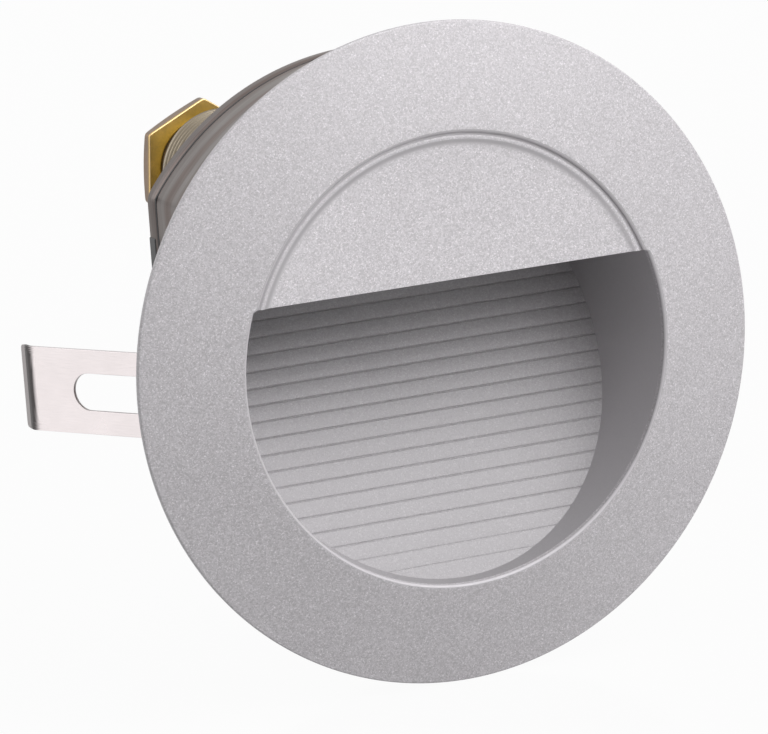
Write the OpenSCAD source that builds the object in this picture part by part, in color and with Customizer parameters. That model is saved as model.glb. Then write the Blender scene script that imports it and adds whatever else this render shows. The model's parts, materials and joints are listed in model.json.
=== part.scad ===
// Round recessed outdoor wall light. Origin on the can's axis in the plane of the wall.
// X runs to the right, Y into the wall and Z up; the front faces -Y.

/* [Front ring] */
// How far the front ring reaches past the can
ring_cover = 8.6; // [8.2:0.1:30]
// Diameter of the mouth, where the ring's face turns in
mouth_d = 98.6; // [92:0.2:100]
// Thickness of the ring at its outer edge
ring_edge_t = 1.25; // [1:0.05:3]
// How far the mouth's edge stands in front of the outer edge
ring_rise = 4.85; // [3.6:0.05:6]
// Radius of the rounded edge of the mouth
mouth_round = 1.4; // [1.2:0.1:2]

/* [Can] */
// Outer diameter of the can, which goes into the hole in the wall
can_d = 122.8; // [120.6:0.1:124]
// Depth of the can and its cover behind the wall's face
can_depth = 36.75; // [32:0.05:48]
// Distance between the two flats on the can's sides
flats_w = 100; // [99.4:0.1:103]
// Wall thickness of the can
can_wall = 1.3; // [1:0.1:1.6]
// Length of the round collar in front of the flats
collar_len = 10.5; // [8:0.1:11.5]
// Width of the rear cover's side band
cover_band = 4.7; // [4:0.1:6]
// Thickness of the rear cover's plate
cover_plate = 1.75; // [1.4:0.05:2.4]

/* [Reflector tub] */
// Wall thickness of the tub
tub_wall = 1.7; // [1.2:0.1:2]
// Draft of the tub's round wall, in degrees
tub_draft = 6.4; // [4:0.1:8]
// Room between the tub's back and the rear cover, which sets how far the grooved floor leans
back_room = 5.5; // [4:0.1:12]
// Thickness of the sloping floor
floor_t = 1.8; // [1.4:0.1:2]
// Distance between the grooves, along the floor
groove_pitch = 3.66; // [3:0.01:6]
// Width of a groove at the surface
groove_w = 0.7; // [0.4:0.05:1]
// Depth of a groove
groove_depth = 0.45; // [0.2:0.05:0.7]

/* [Hood] */
// Height of the hood's lower edge above the axis
hood_z = 16.55; // [15:0.05:17.5]
// Thickness of the hood's plate
hood_t = 1.5; // [1.2:0.1:1.8]
// How far the hood's ledge lies behind the mouth's edge
hood_drop = 0.5; // [0.3:0.1:0.8]
// Width of the raised ledge along the hood's arc
hood_ledge_w = 1.5; // [1:0.1:3]
// Height of the raised ledge
hood_ledge_h = 0.5; // [0.3:0.1:0.6]
// Width of the shallow groove between the ledge and the mouth's wall
hood_groove_w = 0.6; // [0.3:0.1:1.2]

/* [Straps] */
// Width of a strap
strap_w = 18.2; // [14:0.1:24]
// Thickness of a strap
strap_t = 0.8; // [0.5:0.1:1]
// Length of a strap's arm, from its hinge to its lip
strap_len = 41.3; // [34:0.1:60]
// Angle between a strap and the can's side, in degrees
strap_splay = 32.2; // [20:0.1:60]
// Length of the bent lip at a strap's end
lip_len = 3.8; // [2:0.1:8]
// Angle of the bent lip, in degrees
lip_bend = 32.2; // [10:0.1:50]
// Width of a strap's slot
slot_w = 8; // [7.4:0.1:9]
// Height of the straps' middle above the axis
strap_z = -4; // [-8:0.1:0]

/* [Cable gland] */
// Distance of the gland to the left of the axis
gland_left = 28.4; // [27.8:0.1:29]
// Height of the gland above the axis
gland_z = 36.8; // [36.2:0.1:37]
// Outer diameter of the gland's ribbed collar
gland_collar_d = 27; // [26:0.1:28.4]
// Length of the ribbed collar
gland_collar_len = 9.55; // [8:0.05:14]
// Outer diameter of the gland's thread
gland_thread_d = 19.6; // [18:0.1:20]
// Length of thread that shows between the collar and the nut
gland_gap = 9; // [6:0.1:12]
// Width of the nut across its flats
nut_af = 25.4; // [24:0.1:28]
// Thickness of the nut's hexagon
nut_t = 3.6; // [3:0.1:6]
// Diameter of the hole for the cable
cable_hole_d = 9; // [7:0.1:10]

/* [Light source] */
// Gap between the light window's rear corners and the tub's wall
window_margin = 1; // [0.6:0.1:4]
// Thickness of the light window
window_t = 2.5; // [1.5:0.1:3]
// Gap between the heat sink's rear corners and the tub's wall
sink_margin = 2.6; // [0.6:0.1:4.5]
// Thickness of the lamp board
board_t = 1.6; // [1:0.1:2]
// Number of lamp chips in a row
chip_count = 6; // [4:1:6]
// Number of fins on the heat sink
fin_count = 7; // [3:1:9]
// Width of the driver's case
driver_w = 52; // [44:0.5:56]
// Height of the driver's case
driver_h = 24; // [18:0.5:26]

/* [Hidden] */

// Fineness of turned shapes
$fn = 96;
// Overrun of every cut
over = 1;
// Gap between two parts that move past each other
gap = 0.3;
// Gap between two parts that are fitted together
fit_gap = 0.05;
// Radial gap of a hinge
pivot_gap = 0.05;

// Front ring
can_r = can_d / 2;
ring_r = can_r + ring_cover;
mouth_r = mouth_d / 2;
front_y = -(ring_edge_t + ring_rise);
lip_y = front_y + mouth_round;
face_seat = 0.02;
tub_r = mouth_r - mouth_round;
ring_bore_r = tub_r + tub_wall + fit_gap;
gasket_t = 0.8;
can_nest = 0.5;
nest_depth = can_nest + gap + gasket_t;
nest_gap = 0.4;
foam_t = 1;
foam_w = 4.6;
foam_inset = 2;

// Screws of the light, as shank radius, head radius and head height
small_screw = [1.2, 2.2, 1.4];
mid_screw = [1.45, 2.8, 1.8];
cover_screw = [1.45, 3.1, 2.2];
foot_screw = [1.6, 3.5, 2];
recess_share = 0.42;
recess_depth_share = 0.6;

// Can
can_in_r = can_r - can_wall;
flat_x = flats_w / 2;
cover_seal_t = 0.6;
can_rear_y = can_depth - cover_band - cover_seal_t;
cover_y = can_depth - cover_band;
cover_in_y = can_depth - cover_plate;
boss_r = 3.5;
boss_bite = 0.2;
boss_circle_r = can_in_r - boss_r + boss_bite;
boss_len = 15.4;
boss_angles = [52, 102, 232, 308];
cover_hole_gap = 0.35;
cover_hole_r = cover_screw[0] + cover_hole_gap;
cover_screw_len = 14;
register_len = 2.5;
register_t = 1.2;
latch_size = [1, 3.2, 14];
latch_z = 20;
latch_inset = 0.35;
latch_sink = 0.8;

// Tub
draft_slope = tan(tub_draft);
floor_start = 2.8;
bend_z = 12;
back_y = cover_in_y - back_room;
floor_slope = (back_y - lip_y - floor_start) / (bend_z + tub_r);
floor_tilt = atan(floor_slope);
step_z = 23;
step_front = 18;
flange_t = 1.6;
flange_w = 7.6;
flange_r = tub_r + tub_wall + flange_w;
flange_screw_r = (ring_bore_r + flange_r) / 2;
flange_screw_len = 3;
flange_angles = [45, 135, 225, 315];
ceiling_lift = 0.05;
ceiling_t = 1.3;
ceiling_z = hood_z + ceiling_lift;
window_z = ceiling_z + ceiling_t;
first_groove = 4.11;
groove_end = 0.15;
tub_front = lip_y;
function tub_r_at(y) = tub_r - (y - lip_y) * draft_slope;
// Half the tub's inner width at a depth and a height
function half_chord(y, z) = sqrt(pow(tub_r_at(y), 2) - pow(z, 2));
function floor_y(z) = lip_y + floor_start + (z + tub_r) * floor_slope;
floor_back = floor_t / cos(floor_tilt);

// Hood
hood_y = front_y + hood_drop + hood_ledge_h;
hood_back = hood_y + hood_t;
hood_r = tub_r_at(hood_back) - fit_gap;
ledge_r = hood_r - hood_groove_w;
post_r = 2.6;
post_y = 2.5;
post_inset = 2.3;
post_circle_r = tub_r - post_r - post_inset;
post_angles = [90, 35.5, 144.5];
lug_t = 2.5;
post_hole_len = 3.5;

// Light window
window_front = 0.5;
window_rear_gap = 1;
window_d = back_y - window_rear_gap - window_front;
window_seal_t = 0.8;
window_seal_w = 3;
window_corner = 2;
glass_z = window_z + window_seal_t;
window_w = 2 * (half_chord(window_front + window_d, glass_z + window_t) - window_margin);

// Lamp board and heat sink
board_z = 30.5;
board_front = 2;
board_rear_gap = 1;
board_d = step_front - board_front - board_rear_gap;
chip_size = [3.5, 2.8, 0.8];
chip_edge = 7;
chip_row_inset = 4;
sink_base_t = 2;
sink_end_t = 3;
fin_h = 4.3;
fin_t = 1.4;
fin_edge = 6;
sink_z = board_z + board_t;
board_w = 2 * (half_chord(step_front, sink_z + sink_base_t) - sink_margin);
board_screw_inset = 3;
board_screw_x = board_w / 2 - board_screw_inset;
sink_screw_z = sink_z + sink_base_t + fin_h / 2;
sink_screw_x = 17.5;

// Leads and their grommet
lead_r = 0.7;
lead_spread = 1.2;
lead_inset = 3.5;
lead_x = board_w / 2 - lead_inset;
lead_z = 28.9;
lead_sink = 1.2;
lead_end = 1.2;
grommet_r = 3.4;
grommet_lip = 0.6;
grommet_lip_t = 1;
supply_r = 0.8;
supply_x = [-1.5, 2, 5.5];

// Driver and terminal block
insert_gap = 0.8;
driver_gap = 1.25;
driver_top = -14;
driver_y = floor_y(driver_top) + floor_back + driver_gap;
driver_back = cover_in_y - insert_gap;
lead_y = driver_back - lead_sink;
driver_round = 2;
ear_w = 9;
ear_h = 10;
ear_t = 2;
ear_screw_len = 7;
ear_x = (driver_w + ear_w) / 2;
ear_z = driver_top - driver_h / 2;
block_x = 1.5;
block_w = 25;
block_z = 27;
block_h = 12;
block_back = cover_in_y - insert_gap;
block_pitch = 8;
block_screw_x = [block_x - block_pitch, block_x, block_x + block_pitch];
block_screw = [1.4, 2.2, 1.2];

// Head clips
clip_w = 8;
clip_t = 0.6;
clip_len = 12.4;
clip_knee_share = 0.33;
clip_bump_share = 0.67;
clip_reach = can_in_r - gap * 2;
clip_leg_r = flange_r;
rivet_r = 1.4;
rivet_head = [2.4, 1];

// Straps
hinge_out = 2.2;
hinge_behind_collar = 4.33;
hinge_y = collar_len + hinge_behind_collar;
pin_r = 1;
knuckle_r = 1.9;
foot_t = 0.9;
foot_rear_gap = 2.92;
foot_len = can_depth - foot_rear_gap - hinge_y;
knuckle_share = 0.46;
knuckle_len = strap_w * knuckle_share;
strap_tip = strap_len + lip_len * cos(lip_bend);
knuckle_gap = 0.4;
neck_len = 3;
foot_screw_inset = 6.5;
foot_screw_y = foot_len - foot_screw_inset;
foot_screw_len = 3.9;
slot_near = 11;
slot_far = 15.3;
strap_corner = 1.6;
pin_head_r = 1.7;
pin_head_t = 0.5;
pad_r = 4;
pad_t = 1.8;

// Gland
collar_r = gland_collar_d / 2;
thread_r = gland_thread_d / 2;
washer_t = 1;
rib_pitch = 1.5;
rib_depth = 0.5;
thread_depth = 0.45;
collar_y = can_depth + washer_t;
neck_y = collar_y + gland_collar_len;
nut_y = neck_y + gland_gap;
neck_len_in_nut = 4.75;
entry_len = 8.5;
locknut_af = 23.6;
locknut_t = 3.5;
seal_r = 7.4;
hex_half_angle = 30;
seal_len = 9;
seal_squeeze = 1;
seal_hole_d = cable_hole_d - seal_squeeze;
ring_t = 1;
nut_wall = 1.2;
nut_dome_r = thread_r + nut_wall;
nut_dome_len = 4.2;
nut_dome_round = 1.4;
nut_angle = 25.6;
nut_chamfer_angle = 24;
nut_face_inset = 0.4;
body_hole_gap = 1;
body_hole_r = cable_hole_d / 2 + body_hole_gap;

paint = [0.72, 0.72, 0.73];
raw_metal = [0.58, 0.56, 0.53];
stainless = [0.86, 0.85, 0.84];
brass = [0.68, 0.52, 0.18];
black_rubber = [0.08, 0.08, 0.08];

// A solid of revolution about the Y axis, drawn as radius and Y
module turned() {
  rotate([-90, 0, 0]) rotate_extrude() children();
}

// A rod of radius r that runs along Y from y for len
module rod(x, y, z, r, len) {
  translate([x, y, z]) rotate([-90, 0, 0]) cylinder(h = len, r = r);
}

// A flat shape drawn in X and Z, from y0 to y1
module plate(y0, y1) {
  translate([0, y1, 0]) rotate([90, 0, 0]) linear_extrude(y1 - y0) children();
}

// A side view drawn in Y and Z, as wide as w across X
module side_view(w) {
  rotate([90, 0, 90]) linear_extrude(w, center = true) children();
}

// A ring between two radii, from y0 to y1
module ring(r_in, r_out, y0, y1) {
  turned() translate([r_in, y0]) square([r_out - r_in, y1 - y0]);
}

// A pan head screw along Y, its head's seat at y and its shank towards -Y
module screw_y(x, y, z, size, len) {
  difference() {
    union() {
      rod(x, y - len, z, size[0], len);
      rod(x, y, z, size[1], size[2]);
    }
    drive_len = size[2] * recess_depth_share;
    rod(x, y + size[2] - drive_len, z, size[1] * recess_share, drive_len + over);
  }
}

// Places a child at a radius and an angle, in degrees from +X towards +Z
module polar(r, a) {
  translate([r * cos(a), 0, r * sin(a)]) children();
}

// The left-hand shape as it is, or its mirror image on the right
module on_side(right) {
  if (right) mirror([1, 0, 0]) children();
  else children();
}

// The cone of the ring's face, which starts just inside the mouth's rounded edge
module ring_cone() {
  turned() polygon([[mouth_r, 0], [ring_r, 0], [ring_r, -ring_edge_t], [mouth_r, front_y + face_seat]]);
}

module front_ring() {
  color(paint) difference() {
    union() {
      ring_cone();
      turned() translate([mouth_r, lip_y]) circle(r = mouth_round);
    }
    rod(0, lip_y, 0, ring_bore_r, over - lip_y);
    ring(can_in_r - nest_gap, can_r + nest_gap, -nest_depth, over);
    ring(can_r + foam_inset, can_r + foam_inset + foam_w, -foam_t, over);
    for (a = flange_angles) polar(flange_screw_r, a)
      rod(0, -flange_screw_len - fit_gap, 0, mid_screw[0] + fit_gap, flange_screw_len + over);
  }
}

module wall_gasket() {
  foam_in = can_r + foam_inset + fit_gap;
  color(black_rubber) ring(foam_in, foam_in + foam_w - 2 * fit_gap, -foam_t, 0);
}

module collar_gasket() {
  seal_in = can_in_r - nest_gap + fit_gap;
  color(black_rubber) ring(seal_in, can_r + nest_gap - fit_gap, -nest_depth, gasket_t - nest_depth);
}

// Everything in front of the tub's floor, moved back by t, as a side view
module front_of_floor(t, t_slope) {
  far_z = tub_r + tub_wall + over;
  bend = bend_z - (t_slope - t) / floor_slope;
  polygon([[front_y - over, -far_z], [floor_y(-far_z) + t_slope, -far_z],
    [back_y + t, bend], [back_y + t, step_z + t],
    [step_front + t, step_z + t], [step_front + t, far_z], [front_y - over, far_z]]);
}

// The drafted round body of the tub, thicker by t
module tub_cone(t, y0, y1) {
  translate([0, y0, 0]) rotate([-90, 0, 0])
    cylinder(h = y1 - y0, r1 = tub_r_at(y0) + t, r2 = tub_r_at(y1) + t);
}

// V grooves across the floor, which end just short of the tub's round wall
module floor_grooves() {
  floor_len = (bend_z + tub_r) / cos(floor_tilt);
  intersection() {
    tub_cone(-groove_end, tub_front - over, back_y + over);
    translate([0, lip_y + floor_start, -tub_r]) rotate([-floor_tilt, 0, 0])
      for (s = [first_groove:groove_pitch:floor_len - groove_pitch])
        translate([0, 0, s]) side_view(2 * tub_r)
          polygon([[-groove_depth, -groove_w], [groove_depth, 0], [-groove_depth, groove_w]]);
  }
}

module window_hole(inset, z0, z1) {
  x = window_w / 2 - inset;
  translate([-x, window_front + inset, z0])
    cube([2 * x, window_d - 2 * inset, z1 - z0]);
}

module tub_lug(a) {
  rotate([0, 90 - a, 0]) {
    translate([-post_r, post_y, post_circle_r]) cube([2 * post_r, lug_t, tub_r - post_circle_r]);
    rod(0, post_y, post_circle_r, post_r, lug_t);
  }
}

module driver_boss(x, z) {
  rod(x, floor_y(z), z, boss_r, driver_y - floor_y(z));
}

// The round body with its floor, hollowed out in front of the floor
module tub_body() {
  deep = back_y + tub_wall;
  wide = 2 * (tub_r + tub_wall) + over;
  difference() {
    union() {
      intersection() {
        tub_cone(tub_wall, tub_front, deep + over);
        side_view(wide) front_of_floor(tub_wall, floor_back);
      }
      for (s = [-1, 1]) driver_boss(s * ear_x, ear_z);
    }
    intersection() {
      tub_cone(0, tub_front, deep + over);
      side_view(wide) front_of_floor(0, 0);
    }
    floor_grooves();
  }
}

module tub_ceiling() {
  intersection() {
    tub_cone(tub_wall / 2, hood_back, back_y);
    translate([-tub_r, hood_back, ceiling_z])
      cube([2 * tub_r, back_y + tub_wall / 2 - hood_back, ceiling_t]);
  }
}

module reflector_tub() {
  color(paint) difference() {
    union() {
      tub_body();
      ring(tub_r_at(0) + tub_wall / 2, flange_r, 0, flange_t);
      tub_ceiling();
      for (a = post_angles) tub_lug(a);
    }
    window_hole(window_seal_w, ceiling_z - over, window_z + over);
    for (a = flange_angles) polar(flange_screw_r, a)
      rod(0, -over, 0, mid_screw[0] + fit_gap, flange_t + 2 * over);
    for (s = [-1, 1]) {
      rod(0, -over, s * flange_screw_r, rivet_r + fit_gap, flange_t + 2 * over);
      rod(s * sink_screw_x, step_front - over, sink_screw_z, mid_screw[0] + fit_gap, tub_wall + 2 * over);
      rod(s * ear_x, driver_y + ear_t - ear_screw_len, ear_z, mid_screw[0] + fit_gap, ear_screw_len);
    }
    for (a = post_angles) polar(post_circle_r, a)
      rod(0, post_y - over, 0, small_screw[0] + fit_gap, lug_t + 2 * over);
    rod(lead_x, step_front - over, lead_z, grommet_r + fit_gap, tub_wall + 2 * over);
  }
}

module tub_screws() {
  color(stainless) for (a = flange_angles) polar(flange_screw_r, a)
    screw_y(0, flange_t, 0, mid_screw, flange_t + flange_screw_len);
}

module hood_outline(r) {
  intersection() {
    circle(r = r);
    translate([-r, hood_z + hood_t / 2]) square([2 * r, r]);
  }
}

module hood() {
  color(paint) difference() {
    union() {
      plate(hood_y, hood_back) hood_outline(hood_r);
      plate(hood_y - hood_ledge_h, hood_y + hood_t / 2) difference() {
        hood_outline(ledge_r);
        circle(r = ledge_r - hood_ledge_w);
      }
      intersection() {
        translate([-hood_r, hood_y + hood_t / 2, hood_z + hood_t / 2]) rotate([0, 90, 0])
          cylinder(h = 2 * hood_r, r = hood_t / 2);
        rod(0, hood_y - over, 0, hood_r, hood_t + 2 * over);
      }
      for (a = post_angles) polar(post_circle_r, a)
        rod(0, hood_back - fit_gap, 0, post_r, post_y - hood_back + fit_gap);
    }
    for (a = post_angles) polar(post_circle_r, a)
      rod(0, post_y - post_hole_len - fit_gap, 0, small_screw[0] + fit_gap, post_hole_len + over);
  }
}

module hood_screws() {
  color(stainless) for (a = post_angles) polar(post_circle_r, a)
    screw_y(0, post_y + lug_t, 0, small_screw, lug_t + post_hole_len);
}

module window_gasket() {
  color(black_rubber) difference() {
    window_hole(0, window_z, glass_z);
    window_hole(window_seal_w, window_z - over, glass_z + over);
  }
}

module light_window() {
  x = window_w / 2;
  color([0.95, 0.95, 0.92]) translate([-x, window_front, glass_z]) union() {
    translate([window_corner, 0, 0]) cube([window_w - 2 * window_corner, window_d, window_t]);
    translate([0, window_corner, 0]) cube([window_w, window_d - 2 * window_corner, window_t]);
    for (cx = [window_corner, window_w - window_corner], cy = [window_corner, window_d - window_corner])
      translate([cx, cy, 0]) cylinder(h = window_t, r = window_corner);
  }
}

module board_screw_holes(r, z0, len) {
  for (s = [-1, 1]) translate([s * board_screw_x, board_front + board_d / 2, z0]) cylinder(h = len, r = r);
}

module led_board() {
  color([0.9, 0.92, 0.9]) difference() {
    translate([-board_w / 2, board_front, board_z]) cube([board_w, board_d, board_t]);
    board_screw_holes(small_screw[0] + fit_gap, board_z - over, board_t + 2 * over);
  }
}

module led_chips() {
  span = board_w - 2 * chip_edge;
  color([0.95, 0.85, 0.35]) for (i = [0:chip_count - 1], s = [-1, 1])
    translate([-span / 2 + i * span / (chip_count - 1) - chip_size[0] / 2,
      board_front + board_d / 2 + s * chip_row_inset - chip_size[1] / 2, board_z - chip_size[2]])
      cube(chip_size);
}

module board_screws() {
  color(stainless) {
    board_screw_holes(small_screw[0], board_z - fit_gap, board_t + sink_base_t);
    board_screw_holes(small_screw[1], board_z - small_screw[2], small_screw[2]);
  }
}

module heat_sink() {
  sink_d = step_front - board_front;
  fin_span = board_w - 2 * fin_edge;
  color([0.7, 0.71, 0.72]) difference() {
    union() {
      translate([-board_w / 2, board_front, sink_z]) cube([board_w, sink_d, sink_base_t]);
      translate([-fin_span / 2, step_front - sink_end_t, sink_z])
        cube([fin_span, sink_end_t, sink_base_t + fin_h]);
      for (i = [0:fin_count - 1])
        translate([-fin_span / 2 + i * (fin_span - fin_t) / (fin_count - 1), board_front, sink_z])
          cube([fin_t, sink_d, sink_base_t + fin_h]);
    }
    board_screw_holes(small_screw[0] + fit_gap, sink_z - over, sink_base_t + over + fit_gap);
    for (s = [-1, 1])
      rod(s * sink_screw_x, step_front - sink_end_t - over, sink_screw_z, mid_screw[0] + fit_gap,
        sink_end_t + 2 * over);
  }
}

module sink_screws() {
  color(stainless) for (s = [-1, 1])
    screw_y(s * sink_screw_x, step_front + tub_wall, sink_screw_z, mid_screw, tub_wall + sink_end_t);
}

module lead_grommet() {
  color(black_rubber) difference() {
    union() {
      rod(lead_x, step_front, lead_z, grommet_r, tub_wall);
      rod(lead_x, step_front + tub_wall, lead_z, grommet_r + grommet_lip, grommet_lip_t);
    }
    for (s = [-1, 1])
      rod(lead_x + s * lead_spread, step_front - over, lead_z, lead_r + fit_gap,
        tub_wall + grommet_lip_t + 2 * over);
  }
}

// One plate behind the case, which shows as an ear on each side
module driver_ears() {
  translate([-ear_x - ear_w / 2, driver_y, ear_z - ear_h / 2]) cube([2 * ear_x + ear_w, ear_t, ear_h]);
}

module driver_case() {
  color([0.93, 0.93, 0.91]) difference() {
    union() {
      plate(driver_y, driver_back) union() {
        translate([-driver_w / 2 + driver_round, driver_top - driver_h])
          square([driver_w - 2 * driver_round, driver_h]);
        translate([-driver_w / 2, driver_top - driver_h + driver_round])
          square([driver_w, driver_h - 2 * driver_round]);
        for (s = [-1, 1], z = [driver_top - driver_round, driver_top - driver_h + driver_round])
          translate([s * (driver_w / 2 - driver_round), z]) circle(r = driver_round);
      }
      driver_ears();
    }
    for (s = [-1, 1])
      rod(s * ear_x, driver_y - over, ear_z, mid_screw[0] + fit_gap, ear_t + 2 * over);
  }
}

module driver_screws() {
  color(stainless) for (s = [-1, 1])
    screw_y(s * ear_x, driver_y + ear_t, ear_z, mid_screw, ear_screw_len);
}

module terminal_block() {
  front = step_front + tub_wall;
  color([0.9, 0.9, 0.88]) difference() {
    translate([block_x - block_w / 2, front, block_z]) cube([block_w, block_back - front, block_h]);
    for (x = block_screw_x)
      rod(x, block_back - block_screw[2], block_z + block_h / 2, block_screw[1] + fit_gap,
        block_screw[2] + over);
  }
}

module terminal_screws() {
  color(brass) for (x = block_screw_x)
    rod(x, block_back - block_screw[2], block_z + block_h / 2, block_screw[1], block_screw[2]);
}

module led_leads() {
  color([0.75, 0.1, 0.1]) for (s = [-1, 1]) translate([lead_x + s * lead_spread, 0, 0]) {
    end_y = board_front + board_d - lead_end;
    translate([0, lead_y, driver_top]) cylinder(h = lead_z - driver_top, r = lead_r);
    translate([0, lead_y, lead_z]) sphere(r = lead_r);
    rod(0, end_y, lead_z, lead_r, lead_y - end_y);
    translate([0, end_y, lead_z]) sphere(r = lead_r);
    translate([0, end_y, lead_z]) cylinder(h = board_z - lead_z, r = lead_r);
  }
}

module supply_leads() {
  color([0.25, 0.2, 0.15]) for (x = supply_x)
    translate([x, lead_y, driver_top]) cylinder(h = block_z - driver_top, r = supply_r);
}

module head_clip() {
  y = flange_t;
  bump_y = y + clip_len * clip_bump_share;
  knee_y = y + clip_len * clip_knee_share;
  side_view(clip_w) polygon([[y, flange_screw_r - clip_w / 2], [y, clip_leg_r],
    [knee_y, clip_leg_r], [bump_y, clip_reach], [y + clip_len, clip_leg_r],
    [y + clip_len, clip_leg_r - clip_t], [bump_y, clip_reach - clip_t], [knee_y, clip_leg_r - clip_t],
    [y + clip_t, clip_leg_r - clip_t], [y + clip_t, flange_screw_r - clip_w / 2]]);
}

module head_clips() {
  color(stainless) for (s = [0, 1]) mirror([0, 0, s]) difference() {
    head_clip();
    rod(0, -over, flange_screw_r, rivet_r + fit_gap, flange_t + clip_t + 2 * over);
  }
}

module clip_rivets() {
  seat = flange_t + clip_t;
  color(raw_metal) for (s = [-1, 1]) {
    rod(0, 0, s * flange_screw_r, rivet_r, seat);
    rod(0, seat, s * flange_screw_r, rivet_head[0], rivet_head[1]);
  }
}

// The can's outline with its two flats, smaller by inset all round
module can_outline(inset) {
  intersection() {
    circle(r = can_r - inset);
    square([2 * (flat_x - inset), 2 * can_r], center = true);
  }
}

// Places a child where the strap's screw goes through the left flat, pointing outwards
module at_foot_screw() {
  translate([-flat_x, hinge_y + foot_screw_y, strap_z]) rotate([0, -90, 0]) children();
}

module can_shell() {
  color(raw_metal) difference() {
    union() {
      difference() {
        union() {
          rod(0, -can_nest, 0, can_r, can_nest + collar_len);
          plate(collar_len, can_rear_y) can_outline(0);
        }
        rod(0, -can_nest - over, 0, can_in_r, can_nest + over + collar_len - can_wall);
        plate(collar_len - can_wall, can_rear_y + over) can_outline(can_wall);
      }
      for (a = boss_angles) polar(boss_circle_r, a)
        rod(0, can_rear_y - boss_len, 0, boss_r, boss_len);
      for (right = [false, true]) on_side(right) at_foot_screw()
        translate([0, 0, -can_wall - pad_t]) cylinder(h = pad_t + can_wall / 2, r = pad_r);
    }
    for (a = boss_angles) polar(boss_circle_r, a)
      rod(0, can_rear_y - cover_screw_len, 0, cover_screw[0] + fit_gap, cover_screw_len + over);
    for (right = [false, true]) on_side(right) at_foot_screw()
      translate([0, 0, -can_wall - pad_t - over])
        cylinder(h = pad_t + can_wall + 2 * over, r = foot_screw[0] + fit_gap);
  }
}

module cover_gasket() {
  color(black_rubber) plate(can_rear_y, cover_y) difference() {
    can_outline(fit_gap);
    can_outline(can_wall);
  }
}

module register_notches() {
  y0 = cover_y - register_len - cover_seal_t;
  for (a = boss_angles) polar(boss_circle_r, a) rod(0, y0, 0, boss_r + gap, cover_y - y0);
  rod(-gland_left, y0, gland_z, collar_r, cover_in_y - y0 + over);
  for (s = [-1, 1]) translate([s * flat_x - pad_r, y0, strap_z - pad_r - gap])
    cube([2 * pad_r, cover_y - y0, 2 * (pad_r + gap)]);
}

module rear_cover() {
  register_inset = can_wall + gap / 2;
  color(raw_metal) difference() {
    union() {
      difference() {
        plate(cover_y, can_depth) can_outline(0);
        plate(cover_y - over, cover_in_y) can_outline(can_wall);
      }
      difference() {
        plate(cover_y - register_len, cover_in_y + fit_gap) difference() {
          can_outline(register_inset);
          can_outline(register_inset + register_t);
        }
        register_notches();
      }
      for (a = boss_angles) polar(boss_circle_r, a)
        rod(0, cover_y, 0, boss_r, cover_in_y - cover_y + fit_gap);
    }
    for (a = boss_angles) polar(boss_circle_r, a)
      rod(0, cover_y - over, 0, cover_hole_r, cover_band + 2 * over);
    rod(-gland_left, cover_y, gland_z, thread_r + fit_gap, cover_band + over);
    latch_pockets();
  }
}

module cover_screws() {
  color(stainless) for (a = boss_angles) polar(boss_circle_r, a)
    screw_y(0, can_depth, 0, cover_screw, cover_screw_len + cover_band - cover_seal_t);
}

// Places a child in the corner of the left latch's pocket
module at_latch() {
  translate([latch_sink - flat_x, can_depth - latch_inset - latch_size[1], latch_z - latch_size[2] / 2])
    children();
}

module latch_pockets() {
  for (right = [false, true]) on_side(right) at_latch() translate([-latch_sink - over, -fit_gap, -fit_gap])
    cube([latch_sink + over, latch_size[1] + 2 * fit_gap, latch_size[2] + 2 * fit_gap]);
}

module cover_latches() {
  color(black_rubber) for (right = [false, true]) on_side(right) at_latch()
    translate([-latch_size[0], 0, 0]) cube(latch_size);
}

// Places a child on the gland's axis, its Z pointing out of the wall light's back
module at_gland(y) {
  translate([-gland_left, y, gland_z]) rotate([-90, 0, 0]) children();
}

// Ribs of a turned thread between z0 and z0 + n * pitch
function ribs(r, z0, n, depth) = [for (i = [0:n - 1]) each
  [[r, z0 + i * rib_pitch], [r - depth, z0 + (i + 0.5) * rib_pitch]]];

// Corner radius of a hexagon that is as wide as af across its flats
function hex_r_of(af) = af / 2 / cos(hex_half_angle);

module gland_washer() {
  color(black_rubber) at_gland(can_depth) difference() {
    cylinder(h = washer_t, r = collar_r - rib_depth);
    translate([0, 0, -over]) cylinder(h = washer_t + 2 * over, r = thread_r + fit_gap);
  }
}

module gland_body() {
  n_collar = floor((gland_collar_len - rib_pitch) / rib_pitch);
  n_neck = floor((gland_gap - rib_pitch / 2) / rib_pitch);
  neck_end = gland_collar_len + gland_gap + neck_len_in_nut;
  collar_z = (gland_collar_len - n_collar * rib_pitch) / 2;
  color(brass) at_gland(collar_y) difference() {
    rotate_extrude() polygon(concat(
      [[body_hole_r, -entry_len], [thread_r, -entry_len], [thread_r, 0], [collar_r, 0]],
      ribs(collar_r, collar_z, n_collar, rib_depth),
      [[collar_r, collar_z + n_collar * rib_pitch], [collar_r, gland_collar_len],
        [thread_r, gland_collar_len]],
      ribs(thread_r, gland_collar_len + rib_pitch / 2, n_neck, thread_depth),
      [[thread_r, gland_collar_len + rib_pitch / 2 + n_neck * rib_pitch],
        [thread_r, neck_end], [body_hole_r, neck_end]]));
    translate([0, 0, neck_end - seal_len]) cylinder(h = seal_len + over, r = seal_r + fit_gap);
  }
}

module gland_locknut() {
  color(brass) at_gland(cover_in_y - locknut_t) rotate([0, 0, -atan(gland_z / -gland_left)]) difference() {
    rotate([0, 0, hex_half_angle]) cylinder(h = locknut_t, r = hex_r_of(locknut_af), $fn = 6);
    translate([0, 0, -over]) cylinder(h = locknut_t + 2 * over, r = thread_r + fit_gap);
  }
}

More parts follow.
